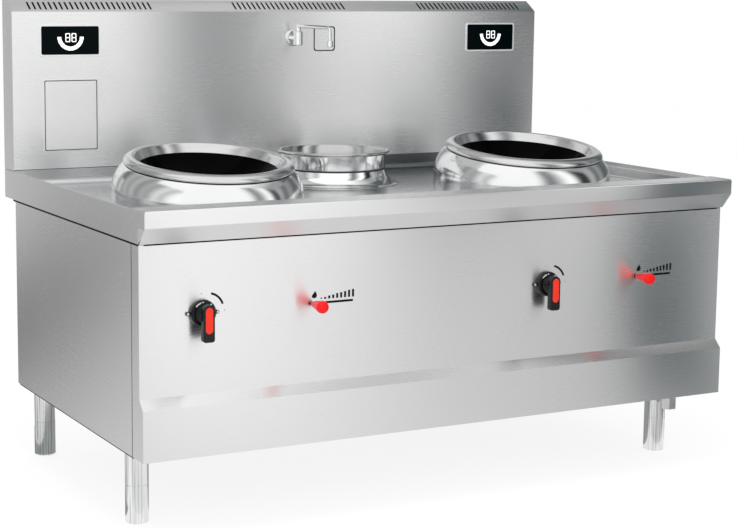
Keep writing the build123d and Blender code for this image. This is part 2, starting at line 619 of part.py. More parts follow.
def tail_pot():
    """Drawn pot: rolled lip, upright band resting on the collar, narrower body below."""
    t = POT_WALL
    top = POT_LIP_LOW_Z + POT_LIP_H
    bottom = POT_BAND_LOW_Z - POT_DEPTH
    k = POT_CORNER_R * (1 - sqrt(0.5))
    outline = Polyline((0, bottom), (POT_BODY_R - POT_CORNER_R, bottom))
    outline += ThreePointArc((POT_BODY_R - POT_CORNER_R, bottom), (POT_BODY_R - k, bottom + k),
                             (POT_BODY_R, bottom + POT_CORNER_R))
    outline += Polyline((POT_BODY_R, bottom + POT_CORNER_R), (POT_BODY_R, POT_BAND_LOW_Z),
                        (POT_BAND_R, POT_BAND_LOW_Z), (POT_BAND_R, POT_LIP_LOW_Z), (LIP_IN_R, POT_LIP_LOW_Z))
    outline += ThreePointArc((LIP_IN_R, POT_LIP_LOW_Z), (POT_LIP_R, POT_LIP_LOW_Z + POT_LIP_H / 2),
                             (LIP_IN_R, top))
    outline += ThreePointArc((LIP_IN_R, top), (POT_BAND_R - t + 2, top - 2), (POT_BAND_R - t, top - 7))
    outline += Polyline((POT_BAND_R - t, top - 7), (POT_BAND_R - t, POT_BAND_LOW_Z + t),
                        (POT_BODY_R - t, POT_BAND_LOW_Z + t), (POT_BODY_R - t, bottom + POT_CORNER_R))
    outline += ThreePointArc((POT_BODY_R - t, bottom + POT_CORNER_R),
                             (POT_BODY_R - t - k * 0.92, bottom + t + k * 0.92),
                             (POT_BODY_R - POT_CORNER_R, bottom + t))
    outline += Polyline((POT_BODY_R - POT_CORNER_R, bottom + t), (0, bottom + t), (0, bottom))
    return Pos(0, TAIL_Y, 0) * turned(outline)


# ---------------------------------------------------------------- isolator switches
def isolator_x(side):
    return SIDES[side] * BURNER_X + ISOLATOR_DX


def isolator_base(side):
    """Round plastic ring on the panel with a screw ear on each side."""
    lines = Polyline((ISO_HUB_R + 1, 0), (ISO_BASE_R, 0), (ISO_BASE_R, ISO_BASE_H - 4),
                     (ISO_BASE_R - 3, ISO_BASE_H), (ISO_HUB_R + 1, ISO_BASE_H), close=True)
    ring = turned(lines)
    for s in (-1, 1):
        ear = Pos(s * ISO_EAR_X, 0, ISO_EAR_T / 2) * Cylinder(ISO_EAR_R, ISO_EAR_T)
        web = Box(ISO_EAR_X - ISO_BASE_R + 3, 8, ISO_EAR_T)
        ear += Pos(s * (ISO_EAR_X + ISO_BASE_R - 3) / 2, 0, ISO_EAR_T / 2) * web
        ear -= Pos(s * ISO_EAR_X, 0, 0) * Cylinder(ISO_EAR_HOLE_R, 4 * ISO_EAR_T)
        ring += ear
    return Pos(isolator_x(side), PANEL_Y, CONTROL_Z) * Rot(90, 0, 0) * ring


def isolator_screws():
    """Four pan-head screws through the ears, tips on the panel."""
    heads = []
    for side in SIDES:
        for s in (-1, 1):
            x = isolator_x(side) + s * ISO_EAR_X
            head = rod_y(x, CONTROL_Z, PANEL_Y - ISO_EAR_T - 2.4, PANEL_Y - ISO_EAR_T, 3.8)
            head = fillet(head.edges().group_by(Axis.Y)[0], 1.6)
            shank = rod_y(x, CONTROL_Z, PANEL_Y - ISO_EAR_T, PANEL_Y, ISO_EAR_HOLE_R - 0.2)
            heads.append(head + shank)
    return Compound(heads)


def isolator_body(side):
    """Rotary switch body behind the panel, with its shaft bore and terminal steps."""
    x, y0, half = isolator_x(side), PANEL_IN_Y, ISO_BODY_W / 2
    body = block(x - half, x + half, y0, y0 + ISO_BODY_T, CONTROL_Z - half, CONTROL_Z + half)
    body = chamfer(body.edges().filter_by(Axis.Y), 5)
    for dz in (-half, half):
        body -= block(x - half - 1, x + half + 1, y0 + ISO_BODY_T / 2, y0 + ISO_BODY_T + 1,
                      CONTROL_Z + dz - 6, CONTROL_Z + dz + 6)
    return body - rod_y(x, CONTROL_Z, y0 - 1, y0 + ISO_SHAFT_DEPTH + 1, ISO_SHAFT_R + RUNNING_FIT)


def handle_outline(width, up, down):
    """Pill-shaped outline: round top, small lower corners."""
    half = width / 2
    lines = ThreePointArc((-half, up - half), (0, up), (half, up - half))
    lines += Polyline((half, up - half), (half + 0.5, -down), (-half - 0.5, -down), (-half, up - half))
    return lines


def isolator_handle(side):
    """Pistol handle: hub on the base ring, grip hanging from it, shaft into the switch."""
    front = HANDLE_FACE
    grip = extrude(make_face(handle_outline(HANDLE_WIDTH, HANDLE_UP, HANDLE_DOWN)), amount=HANDLE_GRIP_T)
    grip = fillet(grip.edges().filter_by(Axis.Z).sort_by(Axis.Y)[:2], 7)
    grip = fillet(grip.faces().sort_by(Axis.Z)[-1].edges(), 2.5)
    grip = Pos(0, 0, front - HANDLE_GRIP_T) * grip
    hub_low, hub_high = 1.0, front - HANDLE_GRIP_T + 4
    lines = Polyline((0, hub_low), (ISO_HUB_R, hub_low), (ISO_HUB_R, ISO_BASE_H + 3),
                     (ISO_HUB_R - 9, hub_high), (0, hub_high), close=True)
    handle = grip + turned(lines)
    pocket = extrude(make_face(inlay_outline()), amount=INLAY_T + 1)
    handle -= Pos(0, 0, front - INLAY_T) * pocket
    shaft_len = PANEL_T + ISO_SHAFT_DEPTH
    handle += Pos(0, 0, (hub_low - shaft_len) / 2) * Cylinder(ISO_SHAFT_R, shaft_len + hub_low)
    return Pos(isolator_x(side), PANEL_Y, CONTROL_Z) * Rot(90, 0, 0) * handle


def inlay_outline():
    """Pill outline of the coloured inlay."""
    half = INLAY_WIDTH / 2
    lines = ThreePointArc((-half, INLAY_UP - half), (0, INLAY_UP), (half, INLAY_UP - half))
    lines += Line((half, INLAY_UP - half), (half, half - INLAY_DOWN))
    lines += ThreePointArc((half, half - INLAY_DOWN), (0, -INLAY_DOWN), (-half, half - INLAY_DOWN))
    lines += Line((-half, half - INLAY_DOWN), (-half, INLAY_UP - half))
    return lines


def handle_inlay(side):
    """Red inlay that fills the handle's pocket."""
    inlay = extrude(make_face(inlay_outline()), amount=INLAY_T)
    return Pos(isolator_x(side), PANEL_Y - HANDLE_FACE + INLAY_T, CONTROL_Z) * Rot(90, 0, 0) * inlay


# ---------------------------------------------------------------- power levers
def lever_x(side):
    return SIDES[side] * BURNER_X + LEVER_DX


def power_knob(side):
    """Turned plastic knob, narrow at the panel, domed in front, with a blind slot for the blade."""
    length, big, small = KNOB_LENGTH, KNOB_BIG_R, KNOB_SMALL_R
    lines = Polyline((0, length), (0, 0), (small - 1, 0), (small, 5), (big, length - KNOB_DOME))
    lines += Spline([(big, length - KNOB_DOME), (0.84 * big, length - 0.3 * KNOB_DOME), (0, length)],
                    tangents=[(0, 1), (-1, 0)])
    knob = turned(lines)
    knob -= Pos(0, 0, BLADE_IN_KNOB / 2) * Box(BLADE_W, BLADE_T, BLADE_IN_KNOB)
    return Pos(lever_x(side), PANEL_Y - KNOB_GAP, CONTROL_Z) * Rot(90, 0, 0) * knob


def lever_blade(side):
    """Flat blade through the panel's slot with the carriage that slides on the guide rods."""
    x = lever_x(side)
    blade = block(x - BLADE_W / 2, x + BLADE_W / 2, PANEL_Y - KNOB_GAP - BLADE_IN_KNOB, CARRIAGE_Y + 1,
                  CONTROL_Z - BLADE_T / 2, CONTROL_Z + BLADE_T / 2)
    carriage = block(x - CARRIAGE_W / 2, x + CARRIAGE_W / 2, CARRIAGE_Y, CARRIAGE_Y + CARRIAGE_T,
                     CONTROL_Z - CARRIAGE_H / 2, CONTROL_Z + CARRIAGE_H / 2)
    carriage = chamfer(carriage.edges().filter_by(Axis.X), 2)
    for dz in (-GUIDE_ROD_DZ, GUIDE_ROD_DZ):
        carriage -= rod_x(GUIDE_Y, CONTROL_Z + dz, x - CARRIAGE_W, x + CARRIAGE_W, GUIDE_ROD_R + RUNNING_FIT)
    return carriage + blade


def lever_guide(side):
    """Bracket on the panel's back with two rods that guide the carriage."""
    x0 = lever_x(side) - CARRIAGE_W / 2 - GAP
    x1 = lever_x(side) + LEVER_TRAVEL + CARRIAGE_W / 2 + GAP
    z0, z1 = CONTROL_Z - CARRIAGE_H / 2 - 4, CONTROL_Z + CARRIAGE_H / 2 + 4
    y_back = CARRIAGE_Y + CARRIAGE_T + 3
    guide = block(x0 - GUIDE_CHEEK, x1 + GUIDE_CHEEK, y_back, y_back + GUIDE_CHEEK, z0, z1)
    for low, out in ((x0 - GUIDE_CHEEK, -1), (x1, 1)):
        guide += block(low, low + GUIDE_CHEEK, PANEL_IN_Y, y_back, z0, z1)
        root = low + GUIDE_CHEEK if out > 0 else low
        foot = sorted((root, root + out * 12))
        guide += block(foot[0], foot[1], PANEL_IN_Y, PANEL_IN_Y + GUIDE_CHEEK, z0, z1)
    for dz in (-GUIDE_ROD_DZ, GUIDE_ROD_DZ):
        guide += rod_x(GUIDE_Y, CONTROL_Z + dz, x0 - GUIDE_CHEEK, x1 + GUIDE_CHEEK, GUIDE_ROD_R)
    return guide


# ---------------------------------------------------------------- displays and faucet
def display(side):
    """Black glass front with the electronics box behind it in the housing's window."""
    x = SIDES[side] * DISPLAY_X
    glass = Box(DISPLAY_W, DISPLAY_GLASS, DISPLAY_H)
    glass = chamfer(glass.faces().sort_by(Axis.Y)[0].edges(), 0.6)
    glass = Pos(x, SPLASH_Y - DISPLAY_GLASS / 2, DISPLAY_Z) * glass
    inset = 2 * DISPLAY_BODY_INSET
    rear = Box(DISPLAY_W - inset, DISPLAY_BODY_T, DISPLAY_H - inset)
    return glass + Pos(x, SPLASH_Y + DISPLAY_BODY_T / 2, DISPLAY_Z) * rear


def faucet_body():
    """Wall flange, neck and upright valve body with the swivel's bore."""
    y_axis = SPLASH_Y - FAUCET_OUT
    flange = rod_y(0, FAUCET_Z, SPLASH_Y - 7, SPLASH_Y, FAUCET_FLANGE_R)
    flange = fillet(flange.edges().group_by(Axis.Y)[0], 4)
    body = rod_z(0, y_axis, FAUCET_Z - FAUCET_BODY_H / 2, FAUCET_TOP_Z, FAUCET_BODY_R)
    body = chamfer(body.edges().filter_by(GeomType.CIRCLE), 1.5)
    body += rod_y(0, FAUCET_Z, y_axis, SPLASH_Y - 5, FAUCET_NECK_R)
    body += flange
    seat = FAUCET_TOP_Z - SPOUT_PIN_H - 1
    return body - rod_z(0, y_axis, seat, FAUCET_TOP_Z + 1, SPOUT_PIN_R + RUNNING_FIT)


def faucet_spout():
    """Swivel hub, straight arm to the front and a bend down to the nozzle."""
    y_axis = SPLASH_Y - FAUCET_OUT
    hub = rod_z(0, y_axis, FAUCET_TOP_Z, FAUCET_TOP_Z + SPOUT_HUB_H, SPOUT_HUB_R)
    hub = fillet(hub.edges().group_by(Axis.Z)[-1], 3)
    hub += rod_z(0, y_axis, FAUCET_TOP_Z - SPOUT_PIN_H, FAUCET_TOP_Z, SPOUT_PIN_R)
    y_end, z_low = y_axis - SPOUT_REACH, SPOUT_Z - SPOUT_DROP
    path = FilletPolyline((0, y_axis - SPOUT_HUB_R + 1, SPOUT_Z), (0, y_end, SPOUT_Z),
                          (0, y_end, z_low + NOZZLE_H / 2), radius=SPOUT_BEND_R)
    start = Plane(origin=path @ 0, z_dir=path % 0)
    arm = sweep(start * Circle(SPOUT_R), path=path)
    nozzle = rod_z(0, y_end, z_low, z_low + NOZZLE_H, NOZZLE_R)
    nozzle = chamfer(nozzle.edges().filter_by(GeomType.CIRCLE), 1.2)
    nozzle -= rod_z(0, y_end, z_low - 1, z_low + NOZZLE_H / 2, NOZZLE_R - 2.5)
    return hub + arm + nozzle


def water_pipe():
    """Supply pipe from the faucet down behind the backsplash to a threaded inlet under the overhang."""
    start = (0, SPLASH_Y, FAUCET_Z)
    path = FilletPolyline(start, (0, PIPE_Y, FAUCET_Z), (0, PIPE_Y, INLET_Z), radius=PIPE_BEND_R)
    pipe = sweep(Plane(origin=path @ 0, z_dir=path % 0) * Circle(PIPE_R), path=path)
    nut = extrude(RegularPolygon(INLET_NUT_R, 6), amount=INLET_NUT_T)
    tail = rod_z(0, PIPE_Y, INLET_Z, INLET_Z + INLET_THREAD + 1, INLET_R)
    pipe += Pos(0, PIPE_Y, INLET_Z + INLET_THREAD) * nut + tail
    return pipe - rod_z(0, PIPE_Y, INLET_Z - 1, INLET_Z + INLET_THREAD - 6, INLET_BORE_R)


# ---------------------------------------------------------------- legs and feet
def leg(x, y):
    """Tube leg with its flange under the base plate and a threaded plug at its lower end."""
    tube = rod_z(x, y, LEG_JOINT_Z, BASE_Z, LEG_R) - rod_z(x, y, LEG_JOINT_Z + 12, BASE_Z, LEG_R - LEG_WALL)
    tube += rod_z(x, y, BASE_Z - LEG_FLANGE_T, BASE_Z, LEG_FLANGE_R)
    return tube - rod_z(x, y, LEG_JOINT_Z - 1, LEG_JOINT_Z + 13, FOOT_STEM_R + RUNNING_FIT)


def foot(x, y):
    """Adjustable foot: hollow body of the leg's diameter, chamfered at both ends, with its stem."""
    body = rod_z(x, y, 0, LEG_JOINT_Z, LEG_R)
    body = chamfer(body.edges().filter_by(GeomType.CIRCLE), 1.5)
    body -= rod_z(x, y, FOOT_END, LEG_JOINT_Z - FOOT_END, LEG_R - FOOT_WALL)
    stem = rod_z(x, y, LEG_JOINT_Z - 1, LEG_JOINT_Z + FOOT_STEM_H, FOOT_STEM_R)
    return body + stem


# ---------------------------------------------------------------- drain and cable gland
def drain_pipe():
    """Flanged outlet in the basin, pipe through the cabinet and the hex coupling below it."""
    x, y = DRAIN_X, FRONT + DRAIN_Y
    pipe = rod_z(x, y, HEX_LOW_Z + 4, BASIN_Z, DRAIN_PIPE_R)
    pipe += rod_z(x, y, BASIN_Z, BASIN_Z + 1.5, DRAIN_FLANGE_R)
    hexagon = extrude(RegularPolygon(HEX_AF / 2, 6, major_radius=False), amount=HEX_H)
    hexagon = chamfer(hexagon.edges().group_by(Axis.Z)[0], 1.5)
    pipe += Pos(x, y, HEX_LOW_Z) * hexagon
    return pipe - rod_z(x, y, HEX_LOW_Z - 1, BASIN_Z + 3, DRAIN_PIPE_R - DRAIN_WALL)


def cable_gland():
    """Cable gland through the back panel: inner lock nut, hex body and domed cap."""
    y = CABINET_BACK_Y
    thread = rod_y(GLAND_X, GLAND_Z, y - 14, y, GLAND_THREAD_R)
    nut = Pos(GLAND_X, y - SHEET, GLAND_Z) * Rot(90, 0, 0) * extrude(RegularPolygon(GLAND_R, 6), amount=6)
    body = Pos(GLAND_X, y + 10, GLAND_Z) * Rot(90, 0, 0) * extrude(RegularPolygon(GLAND_R, 6), amount=10)
    cap = rod_y(GLAND_X, GLAND_Z, y + 10, y + 28, GLAND_R - 3)
    cap = fillet(cap.edges().group_by(Axis.Y)[-1], 5)
    return thread + nut + body + cap - rod_y(GLAND_X, GLAND_Z, y - 15, y + 29, GLAND_BORE)


# ---------------------------------------------------------------- power generators and fans
def generator(side):
    """Induction generator: sheet case open to the fan behind it, ribbed heat sink on top."""
    cx, y0, z0 = SIDES[side] * BURNER_X, MODULE_FRONT_Y, BASE_TOP_Z
    case = block(cx - MODULE_W / 2, cx + MODULE_W / 2, y0, y0 + MODULE_D, z0, z0 + MODULE_H)
    t = MODULE_WALL
    case -= block(cx - MODULE_W / 2 + t, cx + MODULE_W / 2 - t, y0 + t, y0 + MODULE_D - t,
                  z0 + t, z0 + MODULE_H - t)
    case -= rod_y(cx, FAN_Z, y0 + MODULE_D - 2 * t, y0 + MODULE_D + 1, FAN_DUCT_R)
    fin_gap = (MODULE_W - 2 * FIN_SIDE_INSET) / (FIN_COUNT - 1)
    first = cx - MODULE_W / 2 + FIN_SIDE_INSET
    fins = [block(first + i * fin_gap - FIN_T / 2, first + i * fin_gap + FIN_T / 2, y0 + FIN_END_INSET,
                  y0 + MODULE_D - FIN_END_INSET, z0 + MODULE_H - 1, z0 + MODULE_H + FIN_H)
            for i in range(FIN_COUNT)]
    return case + fins


def fan_frame(side):
    """Square fan frame on the back of the generator, with four spokes and the motor seat."""
    cx, y0 = SIDES[side] * BURNER_X, FAN_Y
    half = FAN_SIZE / 2
    frame = block(cx - half, cx + half, y0, y0 + FAN_T, FAN_Z - half, FAN_Z + half)
    frame = chamfer(frame.edges().filter_by(Axis.Y), 10)
    frame -= rod_y(cx, FAN_Z, y0 - 1, y0 + FAN_T + 1, FAN_DUCT_R)
    seat = rod_y(cx, FAN_Z, y0 + FAN_T - 8, y0 + FAN_T, FAN_HUB_R)
    for turn in (45, 135):
        spoke = Pos(cx, y0 + FAN_T - 4, FAN_Z) * Rot(0, turn, 0) * Box(2 * FAN_DUCT_R + 4, 6, 8)
        seat += spoke
    seat -= rod_y(cx, FAN_Z, y0, y0 + FAN_T + 1, FAN_SHAFT_R + RUNNING_FIT)
    return frame + seat


def fan_rotor(side):
    """Rotor: hub, pitched blades and a shaft in the frame's seat."""
    rotor = rod_y(0, 0, 4, FAN_T - 9, FAN_HUB_R)
    rotor += rod_y(0, 0, FAN_T - 10, FAN_T, FAN_SHAFT_R)
    reach = FAN_DUCT_R - FAN_TIP_GAP
    blade = Rot(38, 0, 0) * Box(reach - FAN_HUB_R + 2, 2.5, 34)
    blade = Pos((reach + FAN_HUB_R) / 2 - 2, FAN_T / 2 - 3, 0) * blade
    rotor += [Rot(0, i * 360 / FAN_BLADES, 0) * blade for i in range(FAN_BLADES)]
    return Pos(SIDES[side] * BURNER_X, FAN_Y, FAN_Z) * rotor


# ---------------------------------------------------------------- build
def build():
    save("worktop_rim", worktop_rim())
    for section in FLOOR_SECTIONS:
        save(f"basin_floor_{section}", basin_floor(section))
    save("backsplash_housing", backsplash_housing())
    save("backsplash_rear_cover", backsplash_rear_cover())
    save("front_panel", front_panel())
    save("back_panel", back_panel())
    save("base_plate", base_plate())
    save("carcass_frame", carcass_frame())
    save("tail_collar", tail_collar())
    save("tail_pot", tail_pot())
    save("isolator_screws", isolator_screws())
    save("faucet_body", faucet_body())
    save("faucet_spout", faucet_spout())
    save("water_pipe", water_pipe())
    save("drain_pipe", drain_pipe())
    save("cable_gland", cable_gland())
    for side, s in SIDES.items():
        save(f"side_panel_{side}", side_panel(s))
    per_burner = (wok_collar, collar_ring, wok_bowl, induction_coil, coil_carrier, isolator_base,
                  isolator_body, isolator_handle, handle_inlay, power_knob, lever_blade, lever_guide,
                  display, generator, fan_frame, fan_rotor)
    for make in per_burner:
        for side in SIDES:
            save(f"{make.__name__}_{side}", make(side))
    for row, y in LEG_Y.items():
        for side, s in SIDES.items():
            save(f"leg_{row}_{side}", leg(s * LEG_X, y))
            save(f"foot_{row}_{side}", foot(s * LEG_X, y))


build()
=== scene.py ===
from math import acos, cos, pi, radians, sin, tan

import bmesh
import bpy
import numpy as np
from mathutils import Matrix, Vector


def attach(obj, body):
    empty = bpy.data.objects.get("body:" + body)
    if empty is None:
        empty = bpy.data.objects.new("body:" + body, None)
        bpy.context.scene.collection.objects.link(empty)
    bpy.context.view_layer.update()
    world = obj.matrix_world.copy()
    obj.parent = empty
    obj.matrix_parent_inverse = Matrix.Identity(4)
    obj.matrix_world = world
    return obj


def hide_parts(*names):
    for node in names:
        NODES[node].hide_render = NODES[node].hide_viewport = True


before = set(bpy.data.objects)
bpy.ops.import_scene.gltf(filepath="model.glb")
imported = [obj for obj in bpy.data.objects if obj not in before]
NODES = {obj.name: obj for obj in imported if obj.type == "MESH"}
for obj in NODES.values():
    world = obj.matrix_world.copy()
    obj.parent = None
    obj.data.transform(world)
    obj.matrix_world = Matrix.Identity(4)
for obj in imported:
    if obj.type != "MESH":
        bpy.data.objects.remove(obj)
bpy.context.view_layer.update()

# ------------------------------------------------------------------ room and light
# A white studio: pale floor, even daylight and soft lamps. Sheet steel shows what stands
# round it, so grey cards and shaded floor cloths are set where only mirror-like rays
# meet them, as they are hung round stainless steel in a real studio.


class Shade:
    """A value in a shader. Arithmetic on it adds Math nodes, and node() adds any other node."""

    def __init__(self, tree, socket=None):
        self.tree = tree
        self.socket = socket

    def node(self, kind, settings=None, inputs=None, out=0):
        made = self.tree.nodes.new(kind)
        for key, value in (settings or {}).items():
            if key == "stops":
                ramp = made.color_ramp.elements
                while len(ramp) < len(value):
                    ramp.new(0.5)
                for stop, (place, colour) in zip(ramp, value):
                    stop.position = place
                    stop.color = colour
            else:
                setattr(made, key, value)
        for key, value in (inputs or {}).items():
            if isinstance(value, Shade):
                self.tree.links.new(value.socket, made.inputs[key])
            else:
                made.inputs[key].default_value = value
        return Shade(self.tree, made.outputs[out] if made.outputs else None)

    def math(self, operation, *terms):
        return self.node("ShaderNodeMath", {"operation": operation}, dict(enumerate(terms)))

    def vector(self, operation, *terms, out="Value"):
        return self.node("ShaderNodeVectorMath", {"operation": operation}, dict(enumerate(terms)), out)

    def __add__(self, other):
        return self.math("ADD", self, other)

    def __sub__(self, other):
        return self.math("SUBTRACT", self, other)

    def __rsub__(self, other):
        return self.math("SUBTRACT", other, self)

    def __mul__(self, other):
        return self.math("MULTIPLY", self, other)

    __radd__ = __add__
    __rmul__ = __mul__


def grey(level):
    """An even grey with full alpha."""
    return (level, level, level, 1.0)


def solid(colour, share=1.0):
    """A colour at a share of its strength, with full alpha."""
    return tuple(c * share for c in colour) + (1.0,)


def cool(level):
    """An even grey, but the deeper a dark one, the less red and the more blue."""
    depth = max(0.0, 1 - level / 0.30)
    return (level * (1 - 0.30 * depth), level, level * (1 + 0.10 * depth), 1.0)


def emptied(owner):
    """The node tree of a material or world, emptied for a Shade."""
    owner.use_nodes = True
    owner.node_tree.nodes.clear()
    return Shade(owner.node_tree)


def started(name):
    """A new material, and a Shade for its emptied tree."""
    made = bpy.data.materials.new(name)
    return made, emptied(made)


ROUND = [(0.00, 0.16), (0.12, 0.10), (0.20, 0.34), (0.27, 0.12), (0.35, 0.50), (0.42, 0.32), (0.48, 0.54),
         (0.55, 0.26), (0.62, 0.46), (0.70, 0.36), (0.78, 0.86), (0.84, 0.52), (0.90, 1.10), (1.00, 1.18)]
ROUND_WAY = (-0.55, -0.83, 0.05)
room = bpy.data.worlds.new("white_room")
bpy.context.scene.world = room
air = emptied(room)
seen = air.node("ShaderNodeLightPath", out="Is Camera Ray")
mirrored = air.node("ShaderNodeLightPath", out="Is Glossy Ray")
passed = air.node("ShaderNodeLightPath", out="Is Transmission Ray")
way = air.node("ShaderNodeTexCoord", out="Generated")
facing = air.vector("DOT_PRODUCT", way, ROUND_WAY)
stops = [(place, cool(level)) for place, level in ROUND]
sky = air.node("ShaderNodeValToRGB", {"stops": stops}, {"Fac": facing * 0.5 + 0.5})
daylight = air.node("ShaderNodeBackground", inputs={"Color": grey(0.75)})
steel_sky = air.node("ShaderNodeBackground", inputs={"Color": sky})
white = air.node("ShaderNodeBackground", inputs={"Color": grey(1.0)})
sight = air.node("ShaderNodeMixShader", inputs={0: mirrored, 1: daylight, 2: steel_sky})
sight = air.node("ShaderNodeMixShader", inputs={0: air.math("MAXIMUM", seen, passed), 1: sight, 2: white})
air.node("ShaderNodeOutputWorld", inputs={"Surface": sight})


def stage_sheet(name, corners):
    """One flat four-cornered face that belongs to the studio."""
    mesh = bpy.data.meshes.new(name)
    mesh.from_pydata(corners, [], [(0, 1, 2, 3)])
    made = bpy.data.objects.new(name, mesh)
    bpy.context.scene.collection.objects.link(made)
    return made


def lying(x0, y0, x1, y1, z):
    """Corners of a level sheet at one height."""
    return [(x0, y0, z), (x1, y0, z), (x1, y1, z), (x0, y1, z)]


def upright(x0, y0, x1, y1, low, high):
    """Corners of a card that stands between two places on the floor."""
    return [(x0, y0, low), (x1, y1, low), (x1, y1, high), (x0, y0, high)]


FLOOR_HALF = 14.0
floor = stage_sheet("floor", lying(-FLOOR_HALF, -FLOOR_HALF, FLOOR_HALF, FLOOR_HALF, 0))
floor_look, paint = started("pale_floor")
floor.data.materials.append(floor_look)
seen = paint.node("ShaderNodeLightPath", out="Is Camera Ray")
mirrored = paint.node("ShaderNodeLightPath", out="Is Glossy Ray")
matt = paint.node("ShaderNodeBsdfDiffuse", inputs={"Color": grey(0.8)})
glow = paint.node("ShaderNodeEmission", inputs={"Color": grey(1.0), "Strength": 1.12})
shine = paint.node("ShaderNodeEmission", inputs={"Color": grey(0.93)})
look = paint.node("ShaderNodeMixShader", inputs={0: seen * 0.76, 1: matt, 2: glow})
look = paint.node("ShaderNodeMixShader", inputs={0: mirrored * 0.85, 1: look, 2: shine})
paint.node("ShaderNodeOutputMaterial", inputs={"Surface": look})


def card(name, corners, along, start, end, levels, tint=cool):
    """A glowing card that only mirror-like rays meet. Its levels are even steps of distance
    along one direction, from start to end, and tint makes a colour of each level."""
    made = stage_sheet(name, corners)
    made.visible_camera = made.visible_diffuse = made.visible_shadow = made.visible_transmission = False
    tone, face = started(name)
    made.data.materials.append(tone)
    reach = face.vector("DOT_PRODUCT", face.node("ShaderNodeTexCoord", out="Object"), along)
    stops = [(i / (len(levels) - 1), tint(level)) for i, level in enumerate(levels)]
    greys = face.node("ShaderNodeValToRGB", {"stops": stops}, {"Fac": (reach - start) * (1 / (end - start))})
    surface = face.node("ShaderNodeEmission", inputs={"Color": greys, "Strength": 1.1})
    face.node("ShaderNodeOutputMaterial", inputs={"Surface": surface})


X_WAY, Y_WAY = (1, 0, 0), (0, 1, 0)
CARD_LEFT, CARD_RIGHT, CARD_Y = -2.5, 3.6, -1.5
LOW_TOP, MIDDLE_TOP, CEILING = 0.74, 0.90, 3.0
FRONT_FOOT, RIGHT_FOOT = (CARD_LEFT, CARD_Y, CARD_RIGHT, CARD_Y), (1.37, CARD_Y, 1.50, -0.4)
card("front_card_low", upright(CARD_LEFT, CARD_Y, RIGHT_FOOT[0], CARD_Y, 0.0, LOW_TOP), X_WAY, -0.6, 1.4,
     [0.78, 0.92, 0.90, 0.85, 0.78, 0.70, 0.61, 0.58, 0.53, 0.50, 0.18])
card("front_card_middle", upright(*FRONT_FOOT, LOW_TOP, MIDDLE_TOP), X_WAY, -0.40, 2.40,
     [0.98, 0.98, 0.98, 0.98, 0.96, 0.80, 0.50, 0.34, 0.38, 0.50, 0.66, 0.80, 0.78, 0.56, 0.30, 0.12, 0.05,
      0.03, 0.03, 0.02, 0.02])
card("front_card_high", upright(*FRONT_FOOT, MIDDLE_TOP, CEILING), X_WAY, -0.40, 2.40,
     [0.98, 0.98, 0.98, 1.00, 1.00, 0.80, 0.42, 0.20, 0.24, 0.40, 0.60, 0.82, 1.02, 1.10, 1.08, 0.90, 0.62,
      0.32, 0.10, 0.02, 0.02])
card("front_ceiling", lying(CARD_LEFT, -4.0, CARD_RIGHT, 0.3, CEILING), X_WAY, 0.2, 2.6,
     [0.98, 0.96, 0.84, 0.64, 0.54, 0.40, 0.30, 0.32])
card("right_card", upright(*RIGHT_FOOT, 0.0, LOW_TOP), Y_WAY, -1.5, -0.4,
     [0.06, 0.08, 0.22, 0.48, 0.38, 0.14, 0.05, 0.05])
card("right_card_top", upright(*RIGHT_FOOT, LOW_TOP, 0.86), Y_WAY, -1.5, -0.4,
     [0.04, 0.03, 0.03, 0.05, 0.08, 0.12])
card("back_card", upright(1.2, 1.5, 4.4, 1.5, 0.0, 2.2), X_WAY, 1.2, 3.2,
     [0.72, 0.66, 0.56, 0.50, 0.62, 0.60, 0.32, 0.16, 0.14])
card("front_cloth", lying(CARD_LEFT, -1.45, 1.9, -0.42, 0.003), X_WAY, -0.6, 1.65,
     [0.68, 0.74, 0.72, 0.66, 0.62, 0.57, 0.52, 0.40, 0.12, 0.03])
card("under_cloth", lying(-0.98, -0.26, 1.50, 0.75, 0.004), X_WAY, -1.0, 1.5, [0.24, 0.30, 0.24, 0.30, 0.24])
card("left_cloth", lying(-3.6, -0.2, -1.0, 7.0, 0.004), (0.839, 0.545, 0.0), -0.9, 1.1,
     [0.62, 0.53, 0.41, 0.27, 0.17, 0.17, 0.27, 0.41, 0.57, 0.72], grey)
card("left_back_card", upright(-5.0, 7.0, -1.6, 7.0, 0.0, 3.5), X_WAY, -4.2, -2.8,
     [0.56, 0.54, 0.46, 0.34, 0.26, 0.30, 0.42, 0.54], grey)
card("left_card", upright(-2.6, -1.6, -2.6, 1.4, 0.0, 0.9), Y_WAY, -1.6, 1.4,
     [0.90, 0.60, 0.12, 0.06, 0.45, 0.85, 0.20, 0.05, 0.05, 0.30, 0.08, 0.08])
card("ceiling_card", lying(-2.0, 0.3, CARD_RIGHT, 2.4, CEILING), X_WAY, -0.6, 2.2,
     [0.50, 0.50, 0.50, 0.50, 0.48, 0.44, 0.36, 0.22, 0.10])


def lamp(name, place, target, size, power):
    """A square soft lamp aimed at a point."""
    light = bpy.data.lights.new(name, "AREA")
    light.shape = "SQUARE"
    light.size = size
    light.energy = power
    made = bpy.data.objects.new(name, light)
    bpy.context.scene.collection.objects.link(made)
    aim = (Vector(target) - Vector(place)).to_track_quat("-Z", "Y")
    made.matrix_world = Matrix.Translation(place) @ aim.to_matrix().to_4x4()
    made.visible_camera = made.visible_glossy = False


lamp("top_lamp", (-0.6, -0.8, 4.2), (0, 0, 0.8), 2.6, 60)
lamp("front_lamp", (-3.2, -4.2, 3.0), (0, -0.4, 0.6), 2.0, 50)

